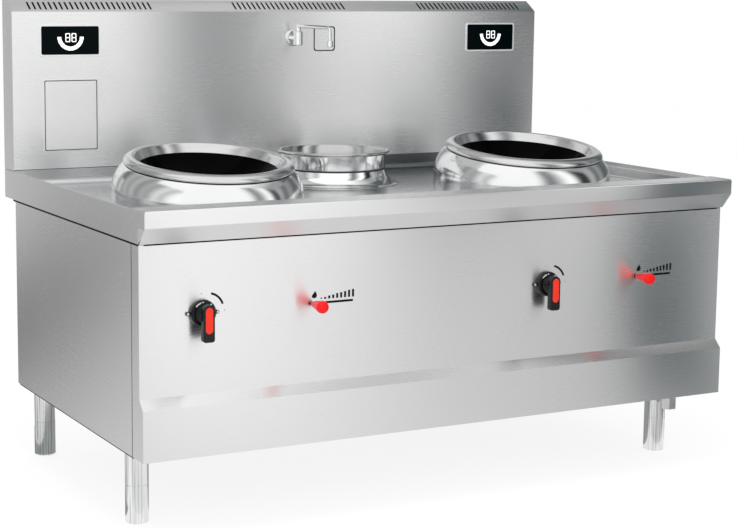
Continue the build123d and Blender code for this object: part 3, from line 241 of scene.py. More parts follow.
# ------------------------------------------------------------------ viewpoint
# A seated eye a little left of the range and five metres away, through a long lens whose
# frame is shifted, as in a view camera. All angles and places were solved together.
TURN, DIP, LEAN = radians(-27.318), radians(7.969), radians(0.453)
EYE = Vector((-2.4610, -4.4407, 1.3846))
ahead = Vector((-sin(TURN) * cos(DIP), cos(TURN) * cos(DIP), -sin(DIP)))
level_right = Vector((cos(TURN), sin(TURN), 0.0))
level_up = level_right.cross(ahead)
right = level_right * cos(LEAN) + level_up * sin(LEAN)
up = level_up * cos(LEAN) - level_right * sin(LEAN)
lens = bpy.data.cameras.new("viewer")
lens.sensor_width = 36.0
lens.lens = 86.129
lens.shift_x = 0.07461
lens.shift_y = -0.04673
lens.clip_end = 100.0
viewer = bpy.data.objects.new("viewer", lens)
bpy.context.scene.collection.objects.link(viewer)
viewer.matrix_world = Matrix.Translation(EYE) @ Matrix((right, up, -ahead)).transposed().to_4x4()
bpy.context.scene.camera = viewer
bpy.context.scene.view_settings.view_transform = "Standard"

# ------------------------------------------------------------------ worktop
# One wide tray of 2 mm satin stainless: sloped front edge, flat apron, bevelled side rims
# and a sunk basin whose back wall starts in a cove. Folded, welded and ground smooth.
RIM_Z, HEM_Z, BASIN_Z = 0.838, 0.753, 0.7935
HALF_WIDTH, FRONT_Y, BACK_Y = 0.900, -0.536, 0.564
HEM_Y, HEM_TOP_Z = -0.500, 0.796
BEVEL, FLOOR_X = (0.886, 0.824), 0.882
APRON_Y, SPLASH_Y = -0.448, 0.476
BURNERS = {"left": (-0.515, -0.036), "right": (0.515, -0.036)}
TAIL = (0.0, 0.199)
DRAIN, DRAIN_EDGES = (0.822, -0.386), (0.811, 0.833)
BURNER_CUT_R, TAIL_CUT_R, DRAIN_CUT = 0.238, 0.168, 0.011
TRAY_STEP, ROW_MARGIN, COLUMN_MARGIN, FACE_MARGIN = 0.022, 0.01, 0.0022, 0.0012
WELD = 2e-6
GRAIN_X, GRAIN_Y = (0.10, 0.0006, 0.0006), (0.0006, 0.10, 0.0006)


def bent(corners, radii, steps=6):
    """A sheet's section: straight runs whose inner corners are arcs. An arc's ends lie on
    the runs at radius / tan(half the corner) from the corner, and its points are the two
    end spokes blended by sines, sin((1 - s) turn) and sin(s turn) over sin(turn)."""
    corners = np.asarray(corners, float)
    parts = [corners[:1]]
    for before, corner, after, radius in zip(corners[:-2], corners[1:-1], corners[2:], radii):
        back = (before - corner) / np.linalg.norm(before - corner)
        on = (after - corner) / np.linalg.norm(after - corner)
        half = acos(float(np.clip(back @ on, -1, 1))) / 2
        if radius == 0:
            parts.append(corner[None])
            continue
        centre = corner + (back + on) / np.linalg.norm(back + on) * radius / sin(half)
        first, last = (corner + spoke * radius / tan(half) - centre for spoke in (back, on))
        turn = pi - 2 * half
        s = np.linspace(0, 1, steps)[:, None]
        parts.append(centre + (np.sin((1 - s) * turn) * first + np.sin(s * turn) * last) / sin(turn))
    parts.append(corners[-1:])
    return np.concatenate(parts)


def ruled(section, step, edge=0.0008):
    """The same section with more points on its long runs, none further apart than step, and
    one at edge from each end of such a run, so that the bends' shading stops there."""
    lengths = np.linalg.norm(np.diff(section, axis=0), axis=1)
    parts = []
    for start, end, length in zip(section[:-1], section[1:], lengths):
        share = np.linspace(0, 1, int(np.ceil(length / step)) + 1)[:-1]
        if length > 4 * edge:
            share = np.sort(np.append(share, [edge / length, 1 - edge / length]))
        parts.append(start + share[:, None] * (end - start))
    return np.concatenate(parts + [section[-1:]])


def lattice(x, y, z):
    """A grid of points from arrays of X, Y and Z that broadcast to its rows and columns."""
    return np.stack(np.broadcast_arrays(x, y, z), -1)


def skin(name, grid, look, around=False, keep=None, crease=35):
    """A mesh on a grid of points, rows x columns x 3 in metres, with a face between each
    four neighbours; around joins the last column to the first. Rows that shrink to a point
    close as poles. keep is a test on face centres, for holes."""
    rows, columns = grid.shape[:2]
    index = np.arange(rows * columns).reshape(rows, columns)
    if around:
        index = np.concatenate([index, index[:, :1]], axis=1)
    faces = np.stack([index[:-1, :-1], index[:-1, 1:], index[1:, 1:], index[1:, :-1]], -1).reshape(-1, 4)
    points = grid.reshape(-1, 3)
    if keep is not None:
        faces = faces[keep(points[faces].mean(axis=1))]
    mesh = bpy.data.meshes.new(name)
    mesh.from_pydata(points.tolist(), [], faces.tolist())
    work = bmesh.new()
    work.from_mesh(mesh)
    bmesh.ops.remove_doubles(work, verts=work.verts, dist=WELD)
    bmesh.ops.dissolve_degenerate(work, edges=work.edges, dist=WELD)
    loose = [v for v in work.verts if not v.link_faces]
    bmesh.ops.delete(work, geom=loose, context="VERTS")
    work.to_mesh(mesh)
    work.free()
    mesh.shade_smooth()
    mesh.set_sharp_from_angle(angle=radians(crease))
    mesh.materials.append(look)
    made = bpy.data.objects.new(name, mesh)
    bpy.context.scene.collection.objects.link(made)
    return made


def face_centres(piece):
    """X, Y and Z of the centre of each of a piece's faces."""
    centres = np.empty(len(piece.data.polygons) * 3)
    piece.data.polygons.foreach_get("center", centres)
    return centres.reshape(-1, 3).T


def add_looks(piece, looks, index):
    """More materials for a piece, and the number of the one that each of its faces takes."""
    for look in looks:
        piece.data.materials.append(look)
    piece.data.polygons.foreach_set("material_index", index.astype(np.int32))


def fit(piece, body, finish, *nodes):
    """The piece rides on a body and stands for CAD nodes, which it hides. finish is not used."""
    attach(piece, body)
    if nodes:
        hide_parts(*nodes)


def principled(shade, base, rough, metal=0.0, relief=None, gloss=0.5, **more):
    """One Principled surface ends a material's tree. Names of more inputs have _ for spaces."""
    inputs = {"Base Color": base, "Roughness": rough, "Metallic": metal, "Specular IOR Level": gloss}
    if relief is not None:
        inputs["Normal"] = relief
    inputs.update((key.replace("_", " "), value) for key, value in more.items())
    surface = shade.node("ShaderNodeBsdfPrincipled", inputs=inputs)
    shade.node("ShaderNodeOutputMaterial", inputs={"Surface": surface})


def laid(shade, size=(1, 1, 1), centre=(0, 0, 0), tilt=(0, 0, 0)):
    """Object coordinates about a centre, turned by tilt and measured in units of size."""
    place = shade.node("ShaderNodeTexCoord", out="Object")
    return shade.node("ShaderNodeMapping", {"vector_type": "TEXTURE"},
                      {"Vector": place, "Location": centre, "Rotation": tilt, "Scale": size})


def cloud(shade, where, scale=1.0, detail=2.0):
    """Soft noise from 0 to 1, most of it near a half."""
    return shade.node("ShaderNodeTexNoise", inputs={"Vector": where, "Scale": scale, "Detail": detail})


def toned(shade, mask, low, high):
    """A colour between two, by a mask."""
    return shade.node("ShaderNodeMix", {"data_type": "RGBA"}, {"Factor": mask, 6: low, 7: high}, out=2)


def bumped(shade, height, strength, distance):
    """A normal tilted by a height."""
    return shade.node("ShaderNodeBump", inputs={"Strength": strength, "Distance": distance, "Height": height})


def stepped(shade, value, low, high, start, end):
    """A smooth step from start to end, as a value goes from low to high."""
    return shade.node("ShaderNodeMapRange", {"interpolation_type": "SMOOTHSTEP"},
                      {"Value": value, "From Min": low, "From Max": high, "To Min": start, "To Max": end})


def satin_steel(name, scratch, tone=0.86, dull=0.27, drawn=0.90, streaks=0.022):
    """Satin sheet: scratch is the length of its grain along X, Y and Z, in metres. Scratches
    too fine to see spread what it mirrors across the grain, by the share drawn. The grain,
    clouds and handling change tone and gloss a little."""
    made, shade = started(name)
    grain = cloud(shade, laid(shade, scratch))
    streak = cloud(shade, laid(shade, tuple(5 * s for s in scratch)))
    haze = cloud(shade, laid(shade), 2.3, 3.0)
    film = cloud(shade, laid(shade, centre=(3, 1, 2)), 6.0)
    mask = grain * 0.35 + streak * 0.35 + haze * 0.30
    low, high = tone * (1 - streaks), tone * (1 + streaks)
    base = toned(shade, mask, (low, low, low * 1.008, 1), (high, high, high * 0.996, 1))
    principled(shade, base, grain * 0.02 + film * 0.03 + (dull - 0.025), 1.0,
               bumped(shade, grain, 0.03, 0.00005), Anisotropic=drawn, Anisotropic_Rotation=0.25)
    return made


def basin_steel(name):
    """Tray floor and rims: grain along X, with old splash marks. Its colour is painted darker
    towards the back and most of all beside the tail pot: painted shade."""
    made, shade = started(name)
    grain = cloud(shade, laid(shade, (0.12, 0.0006, 0.0006)))
    marks = cloud(shade, laid(shade, centre=(1, 2, 0)), 5.0, 3.0)
    depth = shade.node("ShaderNodeSeparateXYZ", inputs={"Vector": laid(shade)}, out="Y")
    # Painted shade: darker towards the back, and darker still near the tail pot.
    painted_back_shade = stepped(shade, depth, -0.30, 0.15, 0.0, 0.85)
    away = shade.vector("LENGTH", laid(shade, centre=(0.26, 0.30, BASIN_Z)))
    painted_pot_shade = stepped(shade, away, 0.25, 0.85, 1.0, 0.20)
    base = toned(shade, painted_back_shade * painted_pot_shade + marks * 0.2, (0.84, 0.845, 0.85, 1), (0.17, 0.19, 0.195, 1))
    principled(shade, base, grain * 0.05 + marks * 0.07 + 0.20, 1.0, bumped(shade, grain, 0.3, 0.00006))
    return made


LENGTHWISE = satin_steel("satin_steel_lengthwise", GRAIN_X)
CROSSWISE = satin_steel("satin_steel_crosswise", GRAIN_Y)
BASIN_STEEL = basin_steel("basin_steel")
HEM_STEEL = satin_steel("satin_steel_hem", GRAIN_X, dull=0.40, drawn=0.0)
RIM_STEEL = satin_steel("satin_steel_rim", GRAIN_X, dull=0.20, drawn=0.4)
across = ruled(bent([(HEM_Y, HEM_Z), (FRONT_Y, HEM_TOP_Z), (FRONT_Y, RIM_Z), (APRON_Y, RIM_Z),
                     (APRON_Y, BASIN_Z), (SPLASH_Y, BASIN_Z), (SPLASH_Y, RIM_Z), (BACK_Y, RIM_Z),
                     (BACK_Y, HEM_Z)],
                    [0.003, 0.0025, 0.002, 0.003, 0.016, 0.001, 0.002]), TRAY_STEP)
along = ruled(bent([(-HALF_WIDTH, HEM_Z), (-HALF_WIDTH, RIM_Z), (-BEVEL[0], BEVEL[1]), (-FLOOR_X, BASIN_Z),
                    (DRAIN_EDGES[0], BASIN_Z), (DRAIN_EDGES[1], BASIN_Z),
                    (FLOOR_X, BASIN_Z), BEVEL, (HALF_WIDTH, RIM_Z), (HALF_WIDTH, HEM_Z)],
                   [0.002, 0.004, 0.004, 0, 0, 0.004, 0.004, 0.002]), TRAY_STEP)


def tray_height(rows, columns):
    """Height of the tray where two sections cross: outside, the lower of the front-to-back
    and side-to-side outer sections, but nowhere under the front hem's slope; inside, the
    higher of the two basin sections."""
    row, column = rows[:, 1][:, None], columns[:, 1][None, :]
    row_out = (rows[:, 0] <= APRON_Y - ROW_MARGIN) | (rows[:, 0] >= SPLASH_Y + ROW_MARGIN)
    column_out = np.abs(columns[:, 0]) >= HALF_WIDTH - COLUMN_MARGIN
    outer = np.minimum(np.where(row_out[:, None], row, RIM_Z), np.where(column_out[None, :], column, RIM_Z))
    inner = np.maximum(np.where(row_out[:, None], RIM_Z, row), np.where(column_out[None, :], RIM_Z, column))
    slope = HEM_Z + (HEM_Y - rows[:, 0]) * (HEM_TOP_Z - HEM_Z) / (HEM_Y - FRONT_Y)
    return np.maximum(outer + inner - RIM_Z, np.where(rows[:, 0] < HEM_Y + 0.0001, slope, 0.0)[:, None])


def clear_of_cuts(centres):
    """True where a face of the tray is outside the burner, tail pot and drain cut-outs."""
    x, y = centres[:, 0], centres[:, 1]
    clear = np.hypot(x - TAIL[0], y - TAIL[1]) > TAIL_CUT_R
    for place in BURNERS.values():
        clear &= np.hypot(x - place[0], y - place[1]) > BURNER_CUT_R
    return clear & (np.maximum(np.abs(x - DRAIN[0]), np.abs(y - DRAIN[1])) > DRAIN_CUT)


drain_rows = np.array([[DRAIN[1] - DRAIN_CUT, BASIN_Z], [DRAIN[1] + DRAIN_CUT, BASIN_Z]])
basin = np.argmax(across[:, 0] > APRON_Y)
place = np.searchsorted(across[basin:, 0], drain_rows[:, 0])
across = np.insert(across, place + basin, drain_rows, axis=0)
grid = lattice(along[:, 0][None, :], across[:, 0][:, None], tray_height(across, along))
tray = skin("worktop_skin", grid, BASIN_STEEL, keep=clear_of_cuts)
x, y, z = face_centres(tray)
hem = (y < HEM_Y + 0.001) & (z < HEM_TOP_Z - 0.001)
front = y < FRONT_Y + 0.0008
outside = (np.abs(x) > HALF_WIDTH - FACE_MARGIN) | (y > BACK_Y - FACE_MARGIN)
add_looks(tray, [LENGTHWISE, HEM_STEEL, RIM_STEEL], np.select([hem, front, outside], [2, 3, 1]))
fit(tray, "range", "stainless", "worktop_rim", "basin_floor_left", "basin_floor_centre", "basin_floor_right")

# ------------------------------------------------------------------ backsplash
# A hollow full-width housing of satin sheet, louvred along its sloped top to let warm air
# out, closed behind by a flat lid. It carries the displays, faucet, bare plate and frame.
PLATE, PLATE_EDGE, PLATE_FACE, PLATE_BORDER = (-0.808, -0.640, 0.889, 1.100), 0.0006, 0.0009, 0.003
BADGE, BADGE_CORNER, BADGE_LINE, BADGE_RISE = (0.074, 0.149, 1.173, 1.250), 0.009, 0.0036, 0.0006
PRINT = 0.0003


def dress(look, *names):
    """Gives CAD nodes a finish."""
    for name in names:
        node = NODES[name]
        node.data.materials.clear()
        node.data.materials.append(look)


def rounded_outline(x0, x1, z0, z1, radius, steps=7):
    """Outline of a rectangle whose corners are quarter circles, anticlockwise."""
    turn = np.linspace(0, pi / 2, steps)
    quarters = np.concatenate([turn + k * pi / 2 for k in range(4)])
    centre_x = np.repeat([x1 - radius, x0 + radius, x0 + radius, x1 - radius], steps)
    centre_z = np.repeat([z1 - radius, z1 - radius, z0 + radius, z0 + radius], steps)
    return np.stack([centre_x + radius * np.cos(quarters), centre_z + radius * np.sin(quarters)], -1)


def ringed(name, rings, look, crease=35):
    """A skin over closed outlines in X and Z, each at its own Y."""
    grid = np.stack([lattice(outline[:, 0], y, outline[:, 1]) for outline, y in rings])
    return skin(name, grid, look, around=True, crease=crease)


def raised_line(name, outline, width, face_y, height, look):
    """A flat raised line that follows a closed outline on the backsplash: the outline, and
    the same outline moved inwards by width, on the sheet and at height in front of it."""
    middle = outline.mean(axis=0)
    half = np.abs(outline - middle).max(axis=0)
    inner = middle + (outline - middle) * (1 - width / half)
    rings = [(outline, face_y), (outline, face_y - height), (inner, face_y - height), (inner, face_y)]
    return ringed(name, rings, look)


def shade_black_weave(name):
    """Black for painted shade in gaps, slots and under the louvres: two crossed sets of fine threads and a
    dull surface.
    """
    made, shade = started(name)
    threads = cloud(shade, laid(shade, (0.0004, 0.004, 0.004)), 1.0, 1.0)
    crossed = cloud(shade, laid(shade, (0.004, 0.0004, 0.0004)), 1.0, 1.0)
    base = toned(shade, threads * 0.5 + crossed * 0.5, (0.002, 0.002, 0.002, 1), (0.012, 0.012, 0.012, 1))
    relief = bumped(shade, threads + crossed, 0.4, 0.0002)
    principled(shade, base, threads * 0.1 + 0.85, relief=relief, gloss=0.1)
    return made


REAR_STEEL = satin_steel("satin_steel_rear", (0.10, 0.0008, 0.0008), 0.64, 0.38, 0.5, 0.05)
dress(LENGTHWISE, "backsplash_housing")
dress(REAR_STEEL, "backsplash_rear_cover")
SHADE_BLACK = shade_black_weave("painted_shade_black")
# Painted shade: a black sheet just under the louvred slope, seen through the slots in place of the shade
# inside the housing.
SLOPE_FOOT, SLOPE_RUN = (SPLASH_Y, 1.296), (0.0510, 0.0330)
SHADE_SHEET_HALF, SHADE_SHEET_DEPTH, SHADE_SHEET_SHARE = 0.870, 0.0024, np.array([0.12, 0.88])
slope_in = np.array([SLOPE_RUN[1], -SLOPE_RUN[0]]) / np.hypot(*SLOPE_RUN) * SHADE_SHEET_DEPTH
shade_sheet_y = SLOPE_FOOT[0] + SHADE_SHEET_SHARE * SLOPE_RUN[0] + slope_in[0]
shade_sheet_z = SLOPE_FOOT[1] + SHADE_SHEET_SHARE * SLOPE_RUN[1] + slope_in[1]
grid = lattice(np.linspace(-SHADE_SHEET_HALF, SHADE_SHEET_HALF, 61)[None, :], shade_sheet_y[:, None], shade_sheet_z[:, None])
fit(skin("louvre_shade_sheet", grid, SHADE_BLACK), "range", "dark_plastic")


def print_ink(name, colour):
    """Screen-printed ink, a little uneven in tone and gloss."""
    made, shade = started(name)
    speck = cloud(shade, laid(shade), 900.0)
    base = toned(shade, speck, solid(colour, 0.8), solid(colour))
    principled(shade, base, speck * 0.2 + 0.35, gloss=0.2)
    return made


BLACK_INK = print_ink("black_ink", (0.001, 0.002, 0.003))
GREY_INK = print_ink("grey_ink", (0.050, 0.058, 0.070))


def plate_steel(name, tone):
    """Pale brushed plate: short fine grain along X and a very even satin gloss."""
    made, shade = started(name)
    grain = cloud(shade, laid(shade, (0.02, 0.0007, 0.0007)))
    base = toned(shade, grain, grey(tone * 0.94), grey(tone * 1.05))
    principled(shade, base, grain * 0.1 + 0.42, 0.85)
    return made


outline = rounded_outline(*PLATE, 0.004)
centre = np.broadcast_to(outline.mean(axis=0), outline.shape)
rings = [(outline, SPLASH_Y), (outline, SPLASH_Y - PLATE_EDGE),
         (centre + (outline - centre) * 0.99, SPLASH_Y - PLATE_FACE), (centre, SPLASH_Y - PLATE_FACE)]
fit(ringed("bare_plate", rings, plate_steel("pale_plate", 0.93), crease=6), "range", "stainless")
outline = rounded_outline(*np.add(PLATE, PLATE_BORDER * np.array([1, -1, 1, -1])), 0.003)
border = raised_line("bare_plate_border", outline, 0.0026, SPLASH_Y - 0.0008, PRINT, GREY_INK)
fit(border, "range", "dark_plastic")
outline = rounded_outline(*BADGE, BADGE_CORNER)
badge = raised_line("badge_frame", outline, BADGE_LINE, SPLASH_Y, BADGE_RISE, GREY_INK)
fit(badge, "range", "dark_plastic")

# ------------------------------------------------------------------ displays
# A black glass front over each burner's side, with two lit digits and a half-ring power
# gauge behind it. The lit parts are thin films just in front of the glass.
DISPLAYS = {"left": -0.725, "right": 0.725}
BEZEL_HALF, BEZEL_Z, BEZEL_CORNER, BEZEL_LINE, BEZEL_RISE = 0.0928, (1.1667, 1.2583), 0.006, 0.0044, 0.0026
FILM_Y = 0.474 - PRINT
DIGIT_W, DIGIT_H, STROKE, DIGIT_GAP = 0.0145, 0.0255, 0.0024, 0.0042
DIGITS_X, DIGITS_Z, GAUGE_X, GAUGE_Z = 0.002, 1.2206, 0.001, 1.2235
GAUGE_OUT, GAUGE_IN, GAUGE_BARS = 0.0402, 0.0288, 10


def glass(name, tint, rough, gloss):
    """Dark glass: faint smears change its gloss."""
    made, shade = started(name)
    smear = cloud(shade, laid(shade, (1, 1, 0.4)), 14.0, 4.0)
    base = toned(shade, smear, solid(tint, 0.8), solid(tint, 1.2))
    principled(shade, base, smear * 0.06 + (rough - 0.02), gloss=gloss)
    return made


def lit_film(name, strength):
    """A lit display segment: even white with a slightly mottled glow."""
    made, shade = started(name)
    mottle = cloud(shade, laid(shade), 400.0)
    colour = toned(shade, mottle, (0.86, 0.90, 0.93, 1), grey(1.0))
    principled(shade, grey(0.8), 0.5, Emission_Color=colour, Emission_Strength=strength)
    return made


def flat_faces(name, outlines, depth_y, look):
    """Equal flat polygons that face the cook: outlines is polygons x corners x 2 in X and Z."""
    points = lattice(outlines[..., 0], depth_y, outlines[..., 1]).reshape(-1, 3)
    mesh = bpy.data.meshes.new(name)
    faces = np.arange(len(points)).reshape(outlines.shape[:2])
    mesh.from_pydata(points.tolist(), [], faces.tolist())
    mesh.materials.append(look)
    made = bpy.data.objects.new(name, mesh)
    bpy.context.scene.collection.objects.link(made)
    return made


def printed(name, outlines, depth_y, look, finish="dark_plastic"):
    """Flat faces that ride on the range."""
    fit(flat_faces(name, outlines, depth_y, look), "range", finish)


def oblong(x0, x1, z0, z1):
    """One rectangle as the outlines of flat faces."""
    return np.array([[(x0, z0), (x1, z0), (x1, z1), (x0, z1)]])


def eights(centre_x):
    """Two figure eights, each of seven bars with pointed ends: a bar's six corners, turned
    upright or flat, scaled to its length and moved to its place."""
    bar = np.array([(-0.5, 0), (-0.5, 1), (0.5, 1), (0.5, 0), (0.5, -1), (-0.5, -1)])
    w, h, s = DIGIT_W, DIGIT_H, STROKE
    flat, tall = w - s, (h - s) / 2
    places = np.array([(0, h / 2 - s / 2, flat, 0), (0, 0, flat, 0), (0, s / 2 - h / 2, flat, 0),
                       (s / 2 - w / 2, tall / 2, tall, 1), (w / 2 - s / 2, tall / 2, tall, 1),
                       (s / 2 - w / 2, -tall / 2, tall, 1), (w / 2 - s / 2, -tall / 2, tall, 1)])
    x = bar[:, 0] * places[:, 2:3] * 0.94
    x = np.where(bar[:, 1] == 0, x + np.sign(bar[:, 0]) * s * 0.30, x * 0.90)
    z = np.broadcast_to(bar[:, 1] * s / 2, x.shape)
    upright = places[:, 3:4] == 1
    bars = np.stack([np.where(upright, -z, x), np.where(upright, x, z)], -1) + places[:, None, :2]
    offset = np.array([(-(w + DIGIT_GAP) / 2, 0), ((w + DIGIT_GAP) / 2, 0)])
    return (bars[None] + offset[:, None, None]).reshape(-1, 6, 2) + (centre_x, DIGITS_Z)


def gauge(centre_x):
    """Lower half of a ring cut into bars: each bar is an arc out and the same arc back."""
    ends = np.linspace(pi, 2 * pi, GAUGE_BARS + 1)
    share = np.linspace(0.06, 0.94, 6)
    angles = ends[:-1, None] * (1 - share) + ends[1:, None] * share
    ring = np.concatenate([angles, angles[:, ::-1]], axis=1)
    radius = np.repeat([GAUGE_OUT, GAUGE_IN], 6)
    return np.stack([centre_x + radius * np.cos(ring), GAUGE_Z + radius * np.sin(ring)], -1)


DISPLAY_GLASS = glass("display_glass", (0.0004, 0.0030, 0.0036), 0.06, 0.04)
WHITE_FILM = lit_film("lit_white", 0.95)
BEZEL_STEEL = plate_steel("bezel_steel", 0.97)
for side, x in DISPLAYS.items():
    dress(DISPLAY_GLASS, f"display_{side}")
    outline = rounded_outline(x - BEZEL_HALF, x + BEZEL_HALF, *BEZEL_Z, BEZEL_CORNER)
    bezel = raised_line(f"display_bezel_{side}", outline, BEZEL_LINE, SPLASH_Y, BEZEL_RISE, BEZEL_STEEL)
    fit(bezel, "range", "stainless")
    printed(f"digits_{side}", eights(x + DIGITS_X), FILM_Y, WHITE_FILM, "black_glass")
    printed(f"gauge_{side}", gauge(x + GAUGE_X), FILM_Y, WHITE_FILM, "black_glass")

# ------------------------------------------------------------------ faucet
# Chromed brass: a round wall flange, an upright valve body on a short neck, and an arm
# that swings on top of it and turns down into its nozzle. A copper pipe feeds it.


def chrome(name):
    """Bright chrome with faint water marks."""
    made, shade = started(name)
    marks = cloud(shade, laid(shade), 60.0, 4.0)
    haze = cloud(shade, laid(shade, centre=(1, 2, 3)), 9.0)
    base = toned(shade, haze, (0.80, 0.81, 0.82, 1), (0.92, 0.92, 0.92, 1))
    principled(shade, base, marks * 0.10 + 0.03, 1.0)
    return made


def bare_metal(name, low, high, rough, cell):
    """Untreated metal: crystal patches a cell wide, each with its own tone and gloss."""
    made, shade = started(name)
    where = laid(shade, (cell, cell, cell))
    patch = shade.node("ShaderNodeTexVoronoi", inputs={"Vector": where, "Scale": 1.0}, out="Color")
    level = shade.node("ShaderNodeSeparateColor", inputs={"Color": patch}, out="Red")
    grain = cloud(shade, laid(shade), 350.0, 3.0)
    base = toned(shade, level * 0.6 + grain * 0.4, solid(low), solid(high))
    relief = bumped(shade, grain, 0.15, 0.0003)
    principled(shade, base, level * 0.12 + grain * 0.1 + (rough - 0.1), 1.0, relief)
    return made


CHROME = chrome("chrome")
dress(CHROME, "faucet_body", "faucet_spout")
COPPER_PIPE = bare_metal("copper_pipe", (0.62, 0.27, 0.15), (0.78, 0.40, 0.24), 0.30, 0.03)
dress(COPPER_PIPE, "water_pipe")

# ------------------------------------------------------------------ cabinet
# Satin sheet panels on a frame of steel angle: a front with folded returns and a kick at its
# foot, plain sides, and a back with a grille behind each fan. Black strips in the gaps under
# the tray's hem and side rims, at the front's returns and along the base are painted shade.
dress(LENGTHWISE, "front_panel")
dress(REAR_STEEL, "back_panel", "base_plate")
dress(CROSSWISE, "side_panel_left", "side_panel_right")
FRAME_STEEL = bare_metal("frame_steel", (0.33, 0.34, 0.35), (0.48, 0.49, 0.50), 0.48, 0.05)
dress(FRAME_STEEL, "carcass_frame")

HEM_SHADE, HEM_SHADE_Y = (-0.885, 0.885, 0.7485, 0.7532), -0.4945
HOUSING_CREASE_SHADE = (-0.899, 0.899, 0.8376, 0.8394)
# Each strip on a side: how far out it lies, its middle and half length along Y, its Z range.
STRIPS = {"side_shade_strip": (0.8993, 0.0, 0.490, (0.7480, 0.7532)),
          "corner_shade_strip": (0.8993, -0.4445, 0.0010, (0.2120, 0.7495)),
          "base_shade_strip": (0.8985, 0.0, 0.454, (0.2086, 0.2117))}
# Painted shade: black strips in the gaps under the hem and side rims, at the front's returns and along the
# base.
printed("hem_shade_strip", oblong(*HEM_SHADE), HEM_SHADE_Y, SHADE_BLACK)
# Painted shade: a thin dark grey line along the crease where the housing meets the tray.
printed("housing_crease_shade", oblong(*HOUSING_CREASE_SHADE), SPLASH_Y - 0.0004, GREY_INK)
for side, sign in (("left", -1), ("right", 1)):
    for name, (out, middle, half, heights) in STRIPS.items():
        along_y = middle + sign * np.array([-half, half])
        grid = lattice(sign * out, along_y[None, :], np.array(heights)[:, None])
        fit(skin(f"{name}_{side}", grid, SHADE_BLACK), "range", "dark_plastic")

# ------------------------------------------------------------------ legs
# Four stainless tubes under the base plate. Each has a screwed foot of the same diameter
# in its lower end, so that the range can be levelled; a fine groove shows the joint.


def drawn_tube(name):
    """Drawn tube: thin dark die lines down its length over a bright ground, and mill marks. The
    lines' strong dark tone is painted reflection of the dark streaks the tube mirrors.
    """
    made, shade = started(name)
    lines = cloud(shade, laid(shade, (0.0024, 0.0024, 0.30)), 1.0, 3.0)
    mill = cloud(shade, laid(shade, (0.004, 0.004, 0.02), centre=(1, 0, 2)), 1.0, 3.0)
    # Painted reflection: the die lines are darkened far past real ones, for the streaks the tube mirrors.
    dark = stepped(shade, lines, 0.36, 0.47, 0.0, 0.84)
    base = toned(shade, dark + mill * 0.18, (0.42, 0.44, 0.46, 1), grey(1.0))
    principled(shade, base, mill * 0.08 + 0.14, 1.0, bumped(shade, lines, 0.2, 0.0002))
    return made


TUBE_STEEL = drawn_tube("drawn_tube_steel")
for row in ("front", "back"):
    for side in ("left", "right"):
        dress(TUBE_STEEL, f"leg_{row}_{side}", f"foot_{row}_{side}")

# ------------------------------------------------------------------ burners
# Each burner leans towards the cook: a spun and polished collar, a rounded ring seated on
# it, and a black glass bowl in the ring over its coil's copper winding. A thin black band in
# the gap under the ring's edge is painted shade.
TILT = radians(6.8)
COLLAR_R, COLLAR_BELLY_H, COLLAR_ARC_R, COLLAR_ARC_C = 0.264, 0.022, 0.09953, 0.16447
COLLAR_TOP_H, COLLAR_SEAT_R = 0.096, 0.207
BOWL_R, BOWL_CENTRE_H, BOWL_RIM_R, BOWL_WALL = 0.24233, 0.23733, 0.1924, 0.005
SPOKES = 144


def turned(profile, foot, tilt=0.0, cut_at_foot=False):
    """A profile of (radius, height) spun about an axis through foot that leans by tilt to
    the front: x = r cos a; y = r sin a cos t - h sin t; z = r sin a sin t + h cos t. With
    cut_at_foot the first row's height is -r sin a tan t, which lies on the foot's level."""
    angle = np.linspace(0, 2 * pi, SPOKES, endpoint=False)[None, :]
    radius, height = profile[:, 0][:, None], np.repeat(profile[:, 1][:, None], SPOKES, axis=1)
    if cut_at_foot:
        height[0] = -profile[0, 0] * np.sin(angle[0]) * tan(tilt)
    x = radius * np.cos(angle)
    y = radius * np.sin(angle) * cos(tilt) - height * sin(tilt)
    z = radius * np.sin(angle) * sin(tilt) + height * cos(tilt)
    return lattice(x + foot[0], y + foot[1], z + foot[2])


def spun(name, profile, foot, look, tilt=0.0, cut_at_foot=False, crease=60):
    """The skin of a turned profile."""
    return skin(name, turned(profile, foot, tilt, cut_at_foot), look, around=True, crease=crease)


def arc(centre, radii, start, end, steps):
    """Points on an ellipse arc in (radius, height), angles in degrees."""
    angle = np.radians(np.linspace(start, end, steps))
    return np.stack([centre[0] + radii[0] * np.cos(angle), centre[1] + radii[1] * np.sin(angle)], -1)


def off_axis(shade, where):
    """Distance of a place from the Z axis of its coordinates."""
    return shade.vector("LENGTH", shade.vector("MULTIPLY", where, (1, 1, 0), out="Vector"))


def spun_steel(name, foot, tilt=0.0, tone=0.86, dull=0.15):
    """Polished spun steel: fine rings round the axis, from noise on radius and height alone,
    with cloudy buffing and small scuffs."""
    made, shade = started(name)
    where = laid(shade, centre=foot, tilt=(tilt, 0, 0))
    radius = off_axis(shade, where)
    height = shade.node("ShaderNodeSeparateXYZ", inputs={"Vector": where}, out="Z")
    section = shade.node("ShaderNodeCombineXYZ", inputs={"X": radius * 900.0, "Y": height * 900.0})
    lines = cloud(shade, section, 1.0, 3.0)
    buffing = cloud(shade, where, 9.0, 3.0)
    scuffs = cloud(shade, where, 70.0, 5.0)
    base = toned(shade, lines * 0.4 + buffing * 0.6, solid((0.92, 0.925, 0.935), tone), grey(tone * 1.06))
    relief = bumped(shade, lines, 0.06, 0.0003)
    principled(shade, base, lines * 0.04 + scuffs * 0.06 + (dull - 0.05), 1.0, relief)
    return made


def dark_moulding(name, low, high, rough, texture=700.0, gloss=0.5):
    """Moulded plastic: a fine pebbled skin and slow changes of gloss."""
    made, shade = started(name)
    pebble = cloud(shade, laid(shade), texture)
    wear = cloud(shade, laid(shade, centre=(2, 3, 1)), 35.0, 3.0)
    principled(shade, toned(shade, wear, solid(low), solid(high)), wear * 0.14 + (rough - 0.07),
               relief=bumped(shade, pebble, 0.12, 0.0002), gloss=gloss)
    return made


